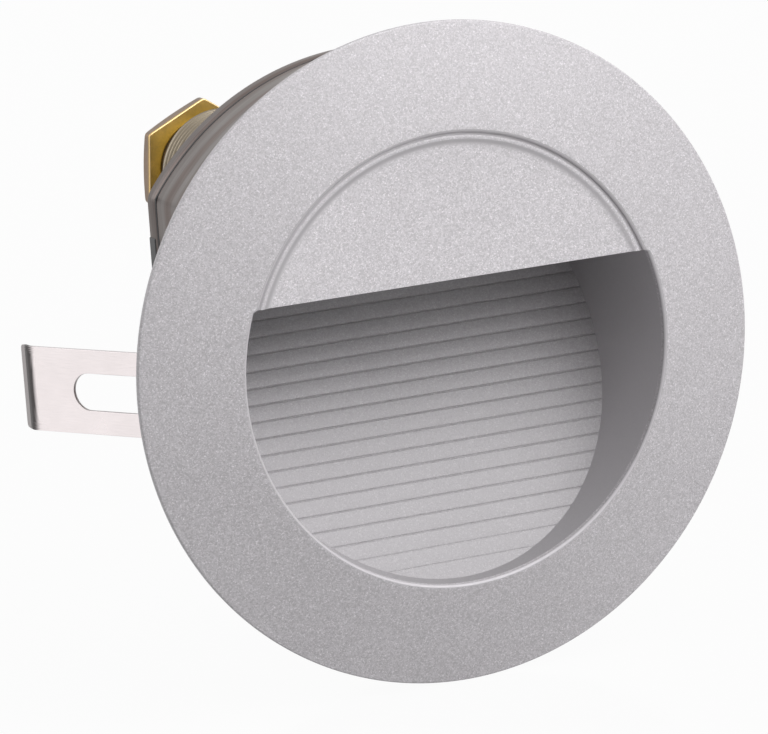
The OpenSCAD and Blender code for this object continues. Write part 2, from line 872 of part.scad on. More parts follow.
module gland_seal() {
  seal_y = nut_y + neck_len_in_nut - seal_len;
  color(black_rubber) at_gland(seal_y) difference() {
    cylinder(h = seal_len, r = seal_r);
    translate([0, 0, -over]) cylinder(h = seal_len + 2 * over, r = seal_hole_d / 2);
  }
}

// The loose ring that the nut presses on the seal
module gland_ring() {
  color(stainless) at_gland(nut_y + neck_len_in_nut + gap / 2) difference() {
    cylinder(h = ring_t, r = thread_r - fit_gap);
    translate([0, 0, -over]) cylinder(h = ring_t + 2 * over, r = cable_hole_d / 2);
  }
}

// A hexagon with its rear corners turned off at an angle
module nut_hexagon() {
  hex_r = hex_r_of(nut_af);
  face_r = nut_af / 2 - nut_face_inset;
  turned_r = hex_r + over;
  intersection() {
    rotate([0, 0, -nut_angle]) cylinder(h = nut_t, r = hex_r, $fn = 6);
    rotate_extrude() polygon([[0, -over], [turned_r, -over],
      [turned_r, nut_t - (turned_r - face_r) * tan(nut_chamfer_angle)],
      [0, nut_t + face_r * tan(nut_chamfer_angle)]]);
  }
}

module gland_nut() {
  end = nut_t + nut_dome_len;
  room = neck_len_in_nut + ring_t + gap;
  color(brass) at_gland(nut_y) difference() {
    union() {
      nut_hexagon();
      rotate_extrude() polygon([[0, nut_t / 2], [nut_dome_r, nut_t / 2], [nut_dome_r, end - nut_dome_round],
        [nut_dome_r - nut_dome_round, end], [0, end]]);
    }
    translate([0, 0, -over]) cylinder(h = room + over, r = thread_r + pivot_gap);
    cylinder(h = end + over, r = cable_hole_d / 2);
  }
}

// Places a child on the left strap's hinge, its X along the can's side
module at_hinge() {
  translate([-flat_x - hinge_out, hinge_y, strap_z]) children();
}

module strap_foot() {
  half = strap_w / 2;
  end_len = half - knuckle_len / 2 - knuckle_gap;
  difference() {
    union() {
      translate([-flat_x - foot_t, hinge_y - knuckle_r, strap_z - half])
        cube([foot_t, knuckle_r + foot_len, strap_w]);
      for (z = [-half, half - end_len]) at_hinge() translate([0, 0, z])
        cylinder(h = end_len, r = knuckle_r);
    }
    translate([-flat_x - foot_t - over, hinge_y - knuckle_r - over,
      strap_z - knuckle_len / 2 - knuckle_gap])
      cube([foot_t + 2 * over, 2 * knuckle_r + over + gap, knuckle_len + 2 * knuckle_gap]);
    at_hinge() translate([0, 0, -half - over]) cylinder(h = strap_w + 2 * over, r = pin_r + fit_gap / 2);
    at_foot_screw() cylinder(h = foot_t + over, r = foot_screw[0] + fit_gap);
  }
}

module strap_foot_left() {
  color(stainless) strap_foot();
}

module strap_foot_right() {
  color(stainless) on_side(true) strap_foot();
}

module strap_pins() {
  color(stainless) for (right = [false, true]) on_side(right) at_hinge() {
    translate([0, 0, -strap_w / 2 - fit_gap]) cylinder(h = strap_w + 2 * fit_gap, r = pin_r);
    for (z = [-strap_w / 2 - fit_gap - pin_head_t, strap_w / 2 + fit_gap])
      translate([0, 0, z]) cylinder(h = pin_head_t, r = pin_head_r);
  }
}

module foot_screws() {
  drive_len = foot_screw[2] * recess_depth_share;
  color(stainless) for (right = [false, true]) on_side(right) at_foot_screw() difference() {
    union() {
      translate([0, 0, foot_t - foot_screw_len]) cylinder(h = foot_screw_len, r = foot_screw[0]);
      translate([0, 0, foot_t]) cylinder(h = foot_screw[2], r = foot_screw[1]);
    }
    translate([0, 0, foot_t + foot_screw[2] - drive_len])
      cylinder(h = drive_len + over, r = foot_screw[1] * recess_share);
  }
}

// The strap's outline, drawn along X with its width along Y
module arm_outline() {
  half = strap_w / 2;
  translate([0, -knuckle_len / 2]) square([neck_len + strap_corner, knuckle_len]);
  translate([neck_len + strap_corner, -half]) square([strap_tip - neck_len - 2 * strap_corner, strap_w]);
  translate([neck_len, strap_corner - half]) square([strap_tip - neck_len, strap_w - 2 * strap_corner]);
  for (x = [neck_len + strap_corner, strap_tip - strap_corner], s = [-1, 1])
    translate([x, s * (half - strap_corner)]) circle(r = strap_corner);
}

module arm_slot() {
  far = strap_len - slot_far;
  translate([slot_near, -slot_w / 2]) square([far - slot_near, slot_w]);
  for (x = [slot_near, far]) translate([x, 0]) circle(r = slot_w / 2);
}

// The strap's edge, a straight strip along X that ends in the bent lip
module strap_edge() {
  half = strap_t / 2;
  miter = half * tan(lip_bend / 2);
  lip_end = [strap_tip + over * cos(lip_bend), -(lip_len + over) * sin(lip_bend)];
  lip_side = half * [sin(lip_bend), cos(lip_bend)];
  polygon([[0, half], [strap_len + miter, half], lip_end + lip_side, lip_end - lip_side,
    [strap_len - miter, -half], [0, -half]]);
}

module strap_arm() {
  at_hinge() rotate([0, 0, 90 + strap_splay]) difference() {
    union() {
      translate([0, 0, -knuckle_len / 2]) cylinder(h = knuckle_len, r = knuckle_r);
      intersection() {
        linear_extrude(strap_w + 2 * over, center = true) strap_edge();
        rotate([90, 0, 0]) linear_extrude(strap_len, center = true) arm_outline();
      }
    }
    rotate([90, 0, 0]) linear_extrude(2 * strap_t, center = true) arm_slot();
    translate([0, 0, -knuckle_len / 2 - over]) cylinder(h = knuckle_len + 2 * over, r = pin_r + pivot_gap);
  }
}

module strap_arm_left() {
  color(stainless) strap_arm();
}

module strap_arm_right() {
  color(stainless) on_side(true) strap_arm();
}

front_ring();
wall_gasket();
collar_gasket();
reflector_tub();
tub_screws();
hood();
hood_screws();
window_gasket();
light_window();
led_board();
led_chips();
board_screws();
heat_sink();
sink_screws();
lead_grommet();
driver_case();
driver_screws();
terminal_block();
terminal_screws();
led_leads();
supply_leads();
head_clips();
clip_rivets();
can_shell();
cover_gasket();
rear_cover();
cover_screws();
cover_latches();
gland_washer();
gland_body();
gland_locknut();
gland_seal();
strap_foot_left();
strap_foot_right();
strap_pins();
foot_screws();
strap_arm_left();
strap_arm_right();
gland_ring();
gland_nut();
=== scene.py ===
# Looks of a recessed outdoor wall light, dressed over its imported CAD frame.
# Sizes are millimetres here and metres in the meshes. X runs right, Y into the wall and Z up.
import json
import math

import bmesh
import bpy
import numpy as np
from mathutils import Matrix


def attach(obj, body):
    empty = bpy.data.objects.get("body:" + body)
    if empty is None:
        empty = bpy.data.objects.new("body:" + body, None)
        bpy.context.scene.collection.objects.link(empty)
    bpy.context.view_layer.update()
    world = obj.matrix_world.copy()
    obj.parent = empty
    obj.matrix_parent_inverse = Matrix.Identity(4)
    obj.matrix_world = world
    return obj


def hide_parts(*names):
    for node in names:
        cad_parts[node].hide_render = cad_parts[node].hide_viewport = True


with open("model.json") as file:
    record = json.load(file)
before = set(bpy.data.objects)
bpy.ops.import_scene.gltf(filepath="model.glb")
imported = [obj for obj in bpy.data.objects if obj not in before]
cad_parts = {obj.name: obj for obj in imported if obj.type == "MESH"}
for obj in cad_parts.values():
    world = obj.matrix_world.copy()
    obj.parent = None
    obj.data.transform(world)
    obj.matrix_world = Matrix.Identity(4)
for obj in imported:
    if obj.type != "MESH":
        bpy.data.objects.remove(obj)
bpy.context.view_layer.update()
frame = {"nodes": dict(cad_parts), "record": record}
mm = 0.001
onAxis = 1e-4  # radius of the points that close a form on its axis
weld = {"points": 0.01, "slivers": 0.005, "dressed": 0.002}
print("frame loaded:", len(frame["nodes"]), "nodes")


# Shading in Python sums

class Value:
    # A node socket that takes part in Python sums; each sum adds a Math node
    def __init__(self, finish, socket):
        self.finish = finish
        self.socket = socket

    def math(self, operation, *others, swap=False):
        terms = [self, *others]
        if swap:
            terms.reverse()
        return self.finish.node("ShaderNodeMath", {"operation": operation}, dict(enumerate(terms)))

    def __add__(self, other): return self.math("ADD", other)
    def __radd__(self, other): return self.math("ADD", other, swap=True)
    def __sub__(self, other): return self.math("SUBTRACT", other)
    def __rsub__(self, other): return self.math("SUBTRACT", other, swap=True)
    def __mul__(self, other): return self.math("MULTIPLY", other)


class Finish:
    # The nodes of one material, or of the world. node() makes any node, first its settings, then its sockets
    def __init__(self, name, world=None):
        self.owner = world or bpy.data.materials.new(name)
        self.owner.use_nodes = True
        self.tree = self.owner.node_tree
        self.tree.nodes.clear()

    def node(self, kind, settings=None, sockets=None, output=0):
        made = self.tree.nodes.new(kind)
        for key, value in (settings or {}).items():
            setattr(made, key, value)
        for key, value in (sockets or {}).items():
            if isinstance(value, Value):
                self.tree.links.new(value.socket, made.inputs[key])
            else:
                made.inputs[key].default_value = value
        return Value(self, made.outputs[output]) if made.outputs else made

    def place(self, scale=(1, 1, 1)):
        # Object coordinates in millimetres, stretched along each axis
        spot = self.node("ShaderNodeTexCoord", output=3)
        return self.node("ShaderNodeMapping", {}, {0: spot, 3: [s / mm for s in scale]})

    def noise(self, where, scale, detail=3, roughness=0.5):
        return self.node("ShaderNodeTexNoise", {}, {"Vector": where, "Scale": scale, "Detail": detail,
                                                    "Roughness": roughness})

    def cells(self, where, scale):
        # A random grey for each Voronoi cell
        shade = self.node("ShaderNodeTexVoronoi", {}, {"Vector": where, "Scale": scale}, output=1)
        return self.node("ShaderNodeSeparateColor", {}, {0: shade})

    def ramp(self, value, low, high):
        # 0 below low, 1 above high, smooth between
        return self.node("ShaderNodeMapRange", {"interpolation_type": "SMOOTHSTEP"},
                         {0: value, 1: low, 2: high, 3: 0.0, 4: 1.0})

    def mix(self, factor, a, b):
        a, b = [c if isinstance(c, Value) else (*c, 1) for c in (a, b)]
        return self.node("ShaderNodeMix", {"data_type": "RGBA"}, {0: factor, 6: a, 7: b}, output=2)

    def tint(self, colour, factor):
        # A colour made lighter or darker by a factor that varies over the surface
        shade = self.node("ShaderNodeCombineXYZ", {}, {0: factor, 1: factor, 2: factor})
        return self.node("ShaderNodeVectorMath", {"operation": "MULTIPLY"}, {0: shade, 1: colour})

    def bump(self, height, depth, strength=1.0):
        # depth is the real height of the relief, in millimetres
        return self.node("ShaderNodeBump", {}, {"Height": height, "Distance": depth * mm, "Strength": strength})

    def close(self, **sockets):
        # Sets or joins the shader's sockets, which titles gives short names
        values = {titles[key]: (*value, 1) if isinstance(value, tuple) else value
                  for key, value in sockets.items()}
        shader = self.node("ShaderNodeBsdfPrincipled", {}, values)
        self.node("ShaderNodeOutputMaterial", {}, {0: shader})
        return self


titles = {"colour": "Base Color", "rough": "Roughness", "metal": "Metallic", "normal": "Normal",
          "edge": "Specular Tint", "under": "Subsurface Weight"}


# Finishes

def paintedLightMarks(f):
    # The mesh's painted light mark in two parts: how far it lies above 0, painted light, and below 0, painted
    # shade
    mark = f.node("ShaderNodeAttribute", {"attribute_name": "worn"}, output=2)
    return mark.math("MAXIMUM", 0.0), (mark * -1).math("MAXIMUM", 0.0)


paint = {"colour": (0.525, 0.505, 0.525), "flakes": 3.4, "sparks": 5.0, "grain": 2.9, "clouds": 0.035,
         "relief": 0.06}  # cells to the millimetre, and the relief's height in millimetres


def silverPaint(name, tone, sparkle=1.0):
    # Fine metal flake in a satin grey paint. The mesh's mark paints light and shade on it: above 0 it makes the
    # paint plain, at 1 with its own tone, above 1 paler and below 1 darker; below 0 it makes it plain and dark
    f = Finish(name)
    spot = f.place()
    flake = f.cells(spot, paint["flakes"])
    spark = f.cells(spot, paint["sparks"])
    cloud = f.noise(spot, paint["clouds"])
    pale, paintedDark = paintedLightMarks(f)
    worked = (pale * 10).math("MINIMUM", 1.0)
    even = worked.math("MAXIMUM", paintedDark).math("MINIMUM", 1.0)
    lively = (1 - even) * sparkle
    glints = (flake - 0.5) * 0.30 + f.ramp(spark, 0.80, 1.0) * 0.34
    shade = 0.95 + (pale - 1) * worked * 0.5 - paintedDark * 0.14 + glints * lively + (cloud - 0.5) * 0.08
    grain = (f.noise(spot, paint["grain"], 2) * 0.5 + flake * 0.5) * (1 - even * 0.8)
    return f.close(colour=f.tint([c * tone for c in paint["colour"]], shade), metal=0.15,
                   rough=0.42 + flake * 0.2, normal=f.bump(grain, paint["relief"] * sparkle, 0.9))


def canMetal():
    # Bare warm grey metal turned on a lathe: streaks run round the can, between soft stains
    f = Finish("canMetal")
    band = f.noise(f.place((0.02, 1, 0.02)), 0.22, 4, 0.6)
    fine = f.noise(f.place((0.05, 1, 0.05)), 2.4, 2)
    stain = f.noise(f.place(), 0.05, 4, 0.6)
    warm = f.mix(f.ramp(band, 0.42, 0.6), (0.285, 0.235, 0.22), (0.335, 0.325, 0.32))
    # The mesh's mark below 0 darkens the metal as painted shade
    _, paintedShade = paintedLightMarks(f)
    shade = (0.18 + band + (fine - 0.5) * 0.4 + (stain - 0.5) * 0.5) * (1 - paintedShade * 0.85)
    return f.close(colour=f.tint(warm, shade), metal=0.9, rough=0.24 + stain * 0.24,
                   edge=(0.76, 0.71, 0.69), normal=f.bump(band + fine * 0.4, 0.03, 0.5))


def stainless():
    # Polished strip, lightly brushed along X, with faint smears
    f = Finish("stainless")
    brush = f.noise(f.place((0.04, 0.04, 1)), 7.0, 2)
    smear = f.noise(f.place(), 0.11, 3, 0.6)
    # The mesh's mark below 0 darkens the strip as painted shade
    _, paintedShade = paintedLightMarks(f)
    shade = (1.0 + (brush - 0.5) * 0.12 + (smear - 0.5) * 0.14) * (1 - paintedShade * 0.88)
    return f.close(colour=f.tint((0.90, 0.83, 0.83), shade), metal=1.0,
                   rough=0.17 + smear * 0.16 + paintedShade * 0.2, normal=f.bump(brush, 0.006, 0.4))


def brass(name, colour, highlightColour, shadedSideColour, ringScale):
    # Turned brass under a satin lacquer: tool rings and patches of tarnish, a painted highlight on the edges
    # and painted shade on the sides, which makes them browner
    f = Finish(name)
    spot = f.place()
    tarnish = f.noise(spot, 0.16, 4, 0.6)
    fine = f.noise(f.place((1, ringScale, 1)), 1.7, 3)
    worn, paintedShade = paintedLightMarks(f)
    shade = 1.0 + (tarnish - 0.5) * 0.7 + (fine - 0.5) * 0.35
    plain = f.mix(paintedShade, f.tint(colour, shade), f.tint(shadedSideColour, shade))
    metal = 0.5 + worn * 0.5 + paintedShade.math("MINIMUM", 1.0) * 0.5
    return f.close(colour=f.mix(worn, plain, highlightColour), metal=metal,
                   rough=0.24 + tarnish * 0.22 - worn * 0.06, normal=f.bump(fine, 0.012, 0.5))


def rubber(name, colour, grain, depth):
    # Matt rubber or foam with fine pores under a faint bloom
    f = Finish(name)
    spot = f.place()
    pores = f.noise(spot, grain, 3)
    bloom = f.noise(spot, 0.12, 3)
    return f.close(colour=f.tint(colour, 0.75 + pores * 0.4 + bloom * 0.5), metal=0.0,
                   rough=0.62 + bloom * 0.2, normal=f.bump(pores, depth))


def moulded(name, colour, rough, grain=3.0, depth=0.012, **more):
    # Moulded plastic: fine spark-eroded grain and a slow change of tone
    f = Finish(name)
    spot = f.place()
    skin = f.noise(spot, grain, 2)
    tone = f.noise(spot, 0.05, 3)
    return f.close(colour=f.tint(colour, 1.0 + (tone - 0.5) * 0.16 + (skin - 0.5) * 0.1), metal=0.0,
                   rough=rough + (skin - 0.5) * 0.1, normal=f.bump(skin, depth), **more)


def plainMetal(name, colour, rough, stretch=(1, 1, 1)):
    # Plated or bare metal with a fine grain, which the stretch draws out along an axis
    f = Finish(name)
    grain = f.noise(f.place(stretch), 4.0, 2)
    patch = f.noise(f.place(), 0.2, 3)
    return f.close(colour=f.tint(colour, 0.95 + (grain - 0.5) * 0.2 + (patch - 0.5) * 0.2), metal=1.0,
                   rough=rough + (patch - 0.5) * 0.15, normal=f.bump(grain, 0.01))


finishes = {
    "silver_paint": silverPaint("silverPaint", 1.0),
    "hood_paint": silverPaint("hoodPaintLit", 1.18),
    "tub_paint": silverPaint("tubPaintShaded", 0.70, 0.6),
    "can_metal": canMetal(),
    "stainless": stainless(),
    "brass": brass("brassNut", (0.78, 0.49, 0.07), (0.66, 0.48, 0.24), (0.19, 0.13, 0.088), 0.4),
    "brass_thread": brass("brassThread", (0.15, 0.124, 0.088), (0.36, 0.305, 0.23), (0.10, 0.08, 0.06), 1.0),
    "foam_rubber": rubber("foamRubber", (0.035, 0.035, 0.036), 1.6, 0.12),
    "black_rubber": rubber("blackRubber", (0.022, 0.022, 0.023), 3.0, 0.02),
    "clear_silicone": moulded("clearSilicone", (0.62, 0.62, 0.60), 0.35, 1.4, 0.01),
    "zinc_steel": plainMetal("zincSteel", (0.62, 0.63, 0.64), 0.28),
    "opal_plastic": moulded("opalPlastic", (0.83, 0.83, 0.80), 0.28, 4.0, 0.004, under=0.25),
    "white_board": moulded("whiteBoard", (0.80, 0.82, 0.80), 0.30, 2.2, 0.008),
    "lamp_chip": moulded("lampChip", (0.86, 0.66, 0.14), 0.35, 5.0, 0.006),
    "bare_aluminium": plainMetal("bareAluminium", (0.66, 0.67, 0.69), 0.34, (0.06, 1, 1)),
    "white_plastic": moulded("whitePlastic", (0.78, 0.78, 0.75), 0.48),
    "red_lead": moulded("redLead", (0.45, 0.02, 0.02), 0.38, 1.5, 0.006),
    "brown_lead": moulded("brownLead", (0.11, 0.05, 0.025), 0.38, 1.5, 0.006),
    "black_plastic": moulded("blackPlastic", (0.025, 0.025, 0.027), 0.42),
}
ownFinish = {"hood": "hood_paint", "reflector_tub": "tub_paint"}  # painted light: the same paint, lighter on the hood and darker in the tub, for how light falls on them
slotOf = {s["node"]: s["material_slot"] for s in frame["record"]["subparts"]}
bodyOf = {n: b for b, names in frame["record"]["behaviour"]["bodies"].items() for n in names}
for name, node in frame["nodes"].items():
    node.data.materials.clear()
    node.data.materials.append(finishes[slotOf[name]].owner)
print("finishes made:", len(finishes))


# Meshes from grids of points

class Shape:
    # Gathers closed grids of points into one mesh
    def __init__(self):
        self.points, self.faces, self.worn, self.count = [], [], [], 0

    def add(self, points, faces, worn=None):
        self.points.append(points)
        self.faces.append(faces + self.count)
        self.worn.append(np.zeros(len(points)) if worn is None else worn)
        self.count += len(points)
        return self

    def loops(self, rows, worn=None, closed=False):
        # rows is (row, place round the loop, xyz), each row a closed loop; closed joins the last to the first
        n, m = rows.shape[:2]
        i, j = np.meshgrid(np.arange(n if closed else n - 1), np.arange(m), indexing="ij")
        k, l = (i + 1) % n, (j + 1) % m
        faces = np.stack([i * m + j, i * m + l, k * m + l, k * m + j], -1).reshape(-1, 4)
        marks = None if worn is None else np.repeat(worn, m) if np.ndim(worn) == 1 else np.ravel(worn)
        return self.add(rows.reshape(-1, 3), faces, marks)

    def slab(self, front, back, worn=None):
        # Two sheets of points of the same shape, joined all round their rims
        n, m = front.shape[:2]
        i, j = np.meshgrid(np.arange(n - 1), np.arange(m - 1), indexing="ij")
        a, b, c, d = i * m + j, i * m + j + 1, (i + 1) * m + j + 1, (i + 1) * m + j
        top = np.stack([a, b, c, d], -1).reshape(-1, 4)
        under = top[:, ::-1] + n * m
        rim = np.concatenate([np.arange(m), np.arange(2, n) * m - 1,
                              np.arange(n * m - 1, (n - 1) * m - 1, -1), np.arange(n - 1, 0, -1) * m])
        after = np.roll(rim, -1)
        side = np.stack([after, rim, rim + n * m, after + n * m], -1)
        marks = None if worn is None else np.concatenate([worn.ravel(), 0 * worn.ravel()])
        return self.add(np.concatenate([front.reshape(-1, 3), back.reshape(-1, 3)]),
                        np.concatenate([top, under, side]), marks)

    def mirrored(self):
        # The same shape on the other side of the YZ plane
        flip = np.array([-1, 1, 1])
        other = Shape()
        for p, f, w in zip(self.points, self.faces, self.worn):
            other.points.append(p * flip)
            other.faces.append(f[:, ::-1])
            other.worn.append(w)
        other.count = self.count
        return other

    def build(self, node, bevel=0, sharp=32, segments=2):
        # The piece that takes the CAD node's place
        points = np.concatenate(self.points) * mm
        mesh = bpy.data.meshes.new(camel(node))
        mesh.from_pydata(points.tolist(), [], np.concatenate(self.faces).tolist())
        if any(w.any() for w in self.worn):
            mark = mesh.attributes.new("worn", "FLOAT", "POINT")
            mark.data.foreach_set("value", np.concatenate(self.worn).astype(np.float32))
        made = bmesh.new()
        made.from_mesh(mesh)
        bmesh.ops.remove_doubles(made, verts=made.verts, dist=weld["points"] * mm)
        bmesh.ops.dissolve_degenerate(made, edges=made.edges, dist=weld["slivers"] * mm)
        bmesh.ops.recalc_face_normals(made, faces=made.faces)
        made.to_mesh(mesh)
        made.free()
        finished(node, mesh, bevel, sharp, segments)


def camel(node):
    first, *rest = node.split("_")
    return first + "".join(word.title() for word in rest)


def finished(node, mesh, bevel, sharp, segments=2):
    # The mesh as a piece with its finish, its eased edges and its body
    piece = bpy.data.objects.new(camel(node), mesh)
    bpy.context.scene.collection.objects.link(piece)
    mesh.materials.append(finishes[ownFinish.get(node, slotOf[node])].owner)
    if bevel:
        edge = piece.modifiers.new("edges", "BEVEL")
        edge.width, edge.segments, edge.limit_method = bevel * mm, segments, "ANGLE"
        edge.angle_limit = math.radians(sharp)
        edge.harden_normals = True
    for face in mesh.polygons:
        face.use_smooth = True
    mesh.set_sharp_from_angle(angle=math.radians(sharp))
    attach(piece, bodyOf[node])
    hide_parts(node)


def dressed(node, bevel):
    # A copy of a CAD node with its triangles merged into whole faces and its edges eased
    made = bmesh.new()
    made.from_mesh(frame["nodes"][node].data)
    bmesh.ops.remove_doubles(made, verts=made.verts, dist=weld["dressed"] * mm)
    bmesh.ops.dissolve_limit(made, angle_limit=math.radians(0.6), verts=made.verts, edges=made.edges)
    mesh = bpy.data.meshes.new(camel(node))
    made.to_mesh(mesh)
    made.free()
    finished(node, mesh, bevel, 30)


def rounded(corners, steps=6):
    # A closed outline from corners given as (u, v, radius): each corner becomes an arc that touches both sides
    corners = np.array(corners, float)
    before, after = np.roll(corners, 1, 0)[:, :2], np.roll(corners, -1, 0)[:, :2]
    out = []
    for (u, v, r), a, b in zip(corners, before, after):
        here = np.array([u, v])
        da, db = (a - here) / np.linalg.norm(a - here), (b - here) / np.linalg.norm(b - here)
        half = math.acos(max(-1, min(1, da @ db))) / 2
        if r <= 0 or half > math.radians(89):
            out.append(here[None])
            continue
        reach = r / math.tan(half)
        middle = here + (da + db) / np.linalg.norm(da + db) * (r / math.sin(half))
        start, end = here + da * reach - middle, here + db * reach - middle
        turn = np.linspace(0, 1, steps + 1)[:, None]
        arc = start * (1 - turn) + end * turn
        out.append(middle + arc / np.linalg.norm(arc, axis=1)[:, None] * r)
    return np.concatenate(out)


def circleOf(count):
    return np.linspace(0, 2 * np.pi, count, endpoint=False)


def carried(r, y, a, centre=(0, 0)):
    # Points at radius r, angle a and depth y round a line along Y through centre = (x, z)
    r, y = r + 0 * a, y + 0 * a
    return np.stack([centre[0] + r * np.cos(a), y, centre[1] + r * np.sin(a)], -1)


def turned(outline, centre=(0, 0), count=256):
    # An outline of (radius, y) carried round its axis
    r, y = outline[:, :1], outline[:, 1:]
    return carried(r, y, circleOf(count), centre)


def solidRod(x, z, radius, y0, y1, ease=0.2, count=48):
    # A closed cylinder along Y with eased rims
    outline = rounded([(onAxis, y0, 0), (radius, y0, ease), (radius, y1, ease), (onAxis, y1, 0)], 3)
    return turned(outline, (x, z), count)


def spotsOn(radius, angles):
    # Places (x, z) on a circle round the light's axis, at angles in degrees
    return [(radius * math.cos(a), radius * math.sin(a)) for a in np.radians(angles)]


# Front ring: a cone from a thin edge to the rounded mouth, with the gaskets' recesses in its back

# seat is the radius and depth where the reflector starts. The recesses foam and nest are each an inner radius,
# an outer radius and a depth. bezel is how far the mouth reaches in, above which height, and how it fades there
ring = {"radius": 70.0, "mouth": 48.65, "edge": 1.25, "rise": 4.85, "round": 0.65, "bore": 49.65,
        "seat": (47.9, -4.7), "throat": -5.2, "clear": (0.03, 0.08), "coneRow": 50.0,
        "eased": (0.45, 0.25, 0.1), "foam": (63.4, 68.0, 1.0), "nest": (59.7, 61.8, 1.6),
        "bezel": (0.8, 16.3, 0.5), "mouthRows": 14, "paintedLitRows": (2, 11), "pale": 1.12, "turns": 384}
frontY = -(ring["edge"] + ring["rise"])
coneSlope = ring["rise"] / (ring["radius"] - ring["mouth"])
inner, lipY = ring["seat"]


def ringOutline():
    # Over the rounded mouth, down the cone, round the edge and across the back's recesses to the throat
    arc = np.linspace(np.pi, np.pi * 1.5 + math.atan(coneSlope), ring["mouthRows"])
    mouth = np.stack([ring["mouth"] + ring["round"] * np.cos(arc),
                      frontY + ring["round"] * (1 + np.sin(arc))], -1)
    cone = [[ring["coneRow"], frontY + (ring["coneRow"] - ring["mouth"]) * coneSlope]]
    foamIn, foamOut, foamDeep = ring["foam"]
    nestIn, nestOut, nestDeep = ring["nest"]
    front, back, fine = ring["eased"]
    near, far = (inner + gap for gap in ring["clear"])
    rest = rounded([(ring["radius"], -ring["edge"], front), (ring["radius"], 0, back),
                    (foamOut, 0, fine), (foamOut, -foamDeep, 0), (foamIn, -foamDeep, 0), (foamIn, 0, fine),
                    (nestOut, 0, fine), (nestOut, -nestDeep, 0), (nestIn, -nestDeep, 0), (nestIn, 0, fine),
                    (ring["bore"], 0, fine), (ring["bore"], lipY, 0), (near, lipY, 0),
                    (far, ring["throat"], 0)], 5)
    return np.concatenate([mouth, cone, rest])


rows = turned(ringOutline(), count=ring["turns"])
marks = np.zeros(len(rows))
marks[slice(*ring["paintedLitRows"])] = ring["pale"]  # painted highlight: the paint is paler over the mouth's edge
wide, low, fade = ring["bezel"]
mouth, around = rows[:ring["mouthRows"]], circleOf(ring["turns"])
# Above the hood's level edge the mouth reaches over the hood's rim
reach = wide * np.clip((mouth[..., 2] - low) / fade, 0, 1)
mouth[..., 0] -= reach * np.cos(around)
mouth[..., 2] -= reach * np.sin(around)
Shape().loops(rows, marks, closed=True).build("front_ring", sharp=28)
print("front ring done")


# Hood: a half moon just inside the mouth, with a thin raised ledge along its arc

# ledge runs out to the rim in pairs: the distance from the rim, and the share of the crest's height
hood = {"radius": 47.73, "edgeZ": 16.55, "faceY": -5.1, "thick": 1.5, "crest": 0.45, "lap": 0.22,
        "rows": (1.5, 42, 26), "rowGap": 0.3, "columns": 121,
        "ledge": ((3.65, 0), (3.25, 0.06), (2.85, 0.25), (2.55, 0.5), (2.2, 0.9), (2.05, 1), (1.5, 1),
                  (1.35, 0.9), (1.23, 0.5), (1.17, 0.44), (0.6, 0.44), (0.5, 0.1), (0, 0.1)),
        "ledgePaintedShade": (-0.1, -0.5, -1.2, -1.4, -1.1, -0.4, -0.3, -0.4, -0.9, -1.3, -1.3, -1.3, -1.3),
        "shadeFade": (0.45, 1.5), "postRadius": 2.6, "postCircle": 43.0, "postAngles": (35.5, 90, 144.5),
        "postSink": 0.5, "postEnd": 2.5}
hoodBackY = hood["faceY"] + hood["thick"]
postSpots = spotsOn(hood["postCircle"], hood["postAngles"])


def hoodSheet(depth, reach):
    # Points at radius r and share t of the arc above the level edge: its ends lie where it meets that edge
    r = np.hypot(np.concatenate([[0.0], np.linspace(*hood["rows"])]), hood["edgeZ"])
    inset, share = np.array(hood["ledge"]).T
    r = np.concatenate([r[r < reach - inset[0] - hood["rowGap"]], reach - inset])[:, None]
    rise = np.concatenate([np.zeros(len(r) - len(inset)), share * hood["crest"]])[:, None]
    low = np.arcsin(np.clip(hood["edgeZ"] / r, -1, 1))
    t = np.linspace(0, 1, hood["columns"])
    return carried(r, hood["faceY"] - rise * depth, low + (np.pi - 2 * low) * t)


front = hoodSheet(1, hood["radius"] + hood["lap"])
back = hoodSheet(0, hood["radius"]) + [0, hood["thick"], 0]
marks = np.zeros(front.shape[:2])
# Painted shade: the ledge's soft dark lines grow stronger from its right end to its left
marks[-len(hood["ledge"]):] = np.outer(hood["ledgePaintedShade"], np.linspace(*hood["shadeFade"], hood["columns"]))
shape = Shape().slab(front, back, marks)
for x, z in postSpots:
    shape.loops(solidRod(x, z, hood["postRadius"], hoodBackY - hood["postSink"], hood["postEnd"]))
shape.build("hood", bevel=0.35, sharp=50, segments=4)
print("hood done")


# Reflector tub: a drafted round wall, a floor that leans back with fine grooves, and the frame of the light

# flange is a radius, a thickness and an ease; window is half its width and its front and back depth; boss is X,
# Z and radius; rows are those of the wall's inside and outside. A groove's section is across in half widths and
# in shares of its depth, and grooves deepen up the floor by fade
tub = {"radius": inner, "wall": 1.7, "draft": 6.4, "tilt": 27.664, "start": 2.8, "bendZ": 12.0, "stepZ": 23.0,
       "stepY": 18.0, "bendRows": ((0.6, 1.07), (0.12, 0.05), (0, -1)), "floor": 1.8,
       "flange": (57.2, 1.6, 0.3), "ceiling": (16.6, 17.9), "window": (35.0, 3.5, 25.5), "frameSteps": 24,
       "sink": 0.8, "floorSink": 0.35, "lugEnd": 5.0, "boss": (30.5, -26.0, 3.5), "bossY": (6.0, 18.2),
       "rows": (30, 12), "columns": 41, "turns": 720}
groove = {"first": 4.11, "pitch": 3.66, "half": 0.26, "deep": 0.3, "fade": (0.45, 0.6), "edgeRows": 14,
          "across": (-1.25, -0.95, -0.1, 0.1, 0.95, 1.25), "share": (0, 0.06, 1, 1, 0.06, 0)}
paintedWallTone = {"plain": 0.87, "sides": 0.98, "high": 0.35, "deep": 1.2, "least": 0.11,
            "from": -0.15, "span": 0.45}
tilt = math.radians(tub["tilt"])
draft, lean = math.tan(math.radians(tub["draft"])), math.tan(tilt)
floorStart = lipY + tub["start"]
backY = floorStart + (tub["bendZ"] + tub["radius"]) * lean


def wallRadius(y):
    return tub["radius"] - (y - lipY) * draft


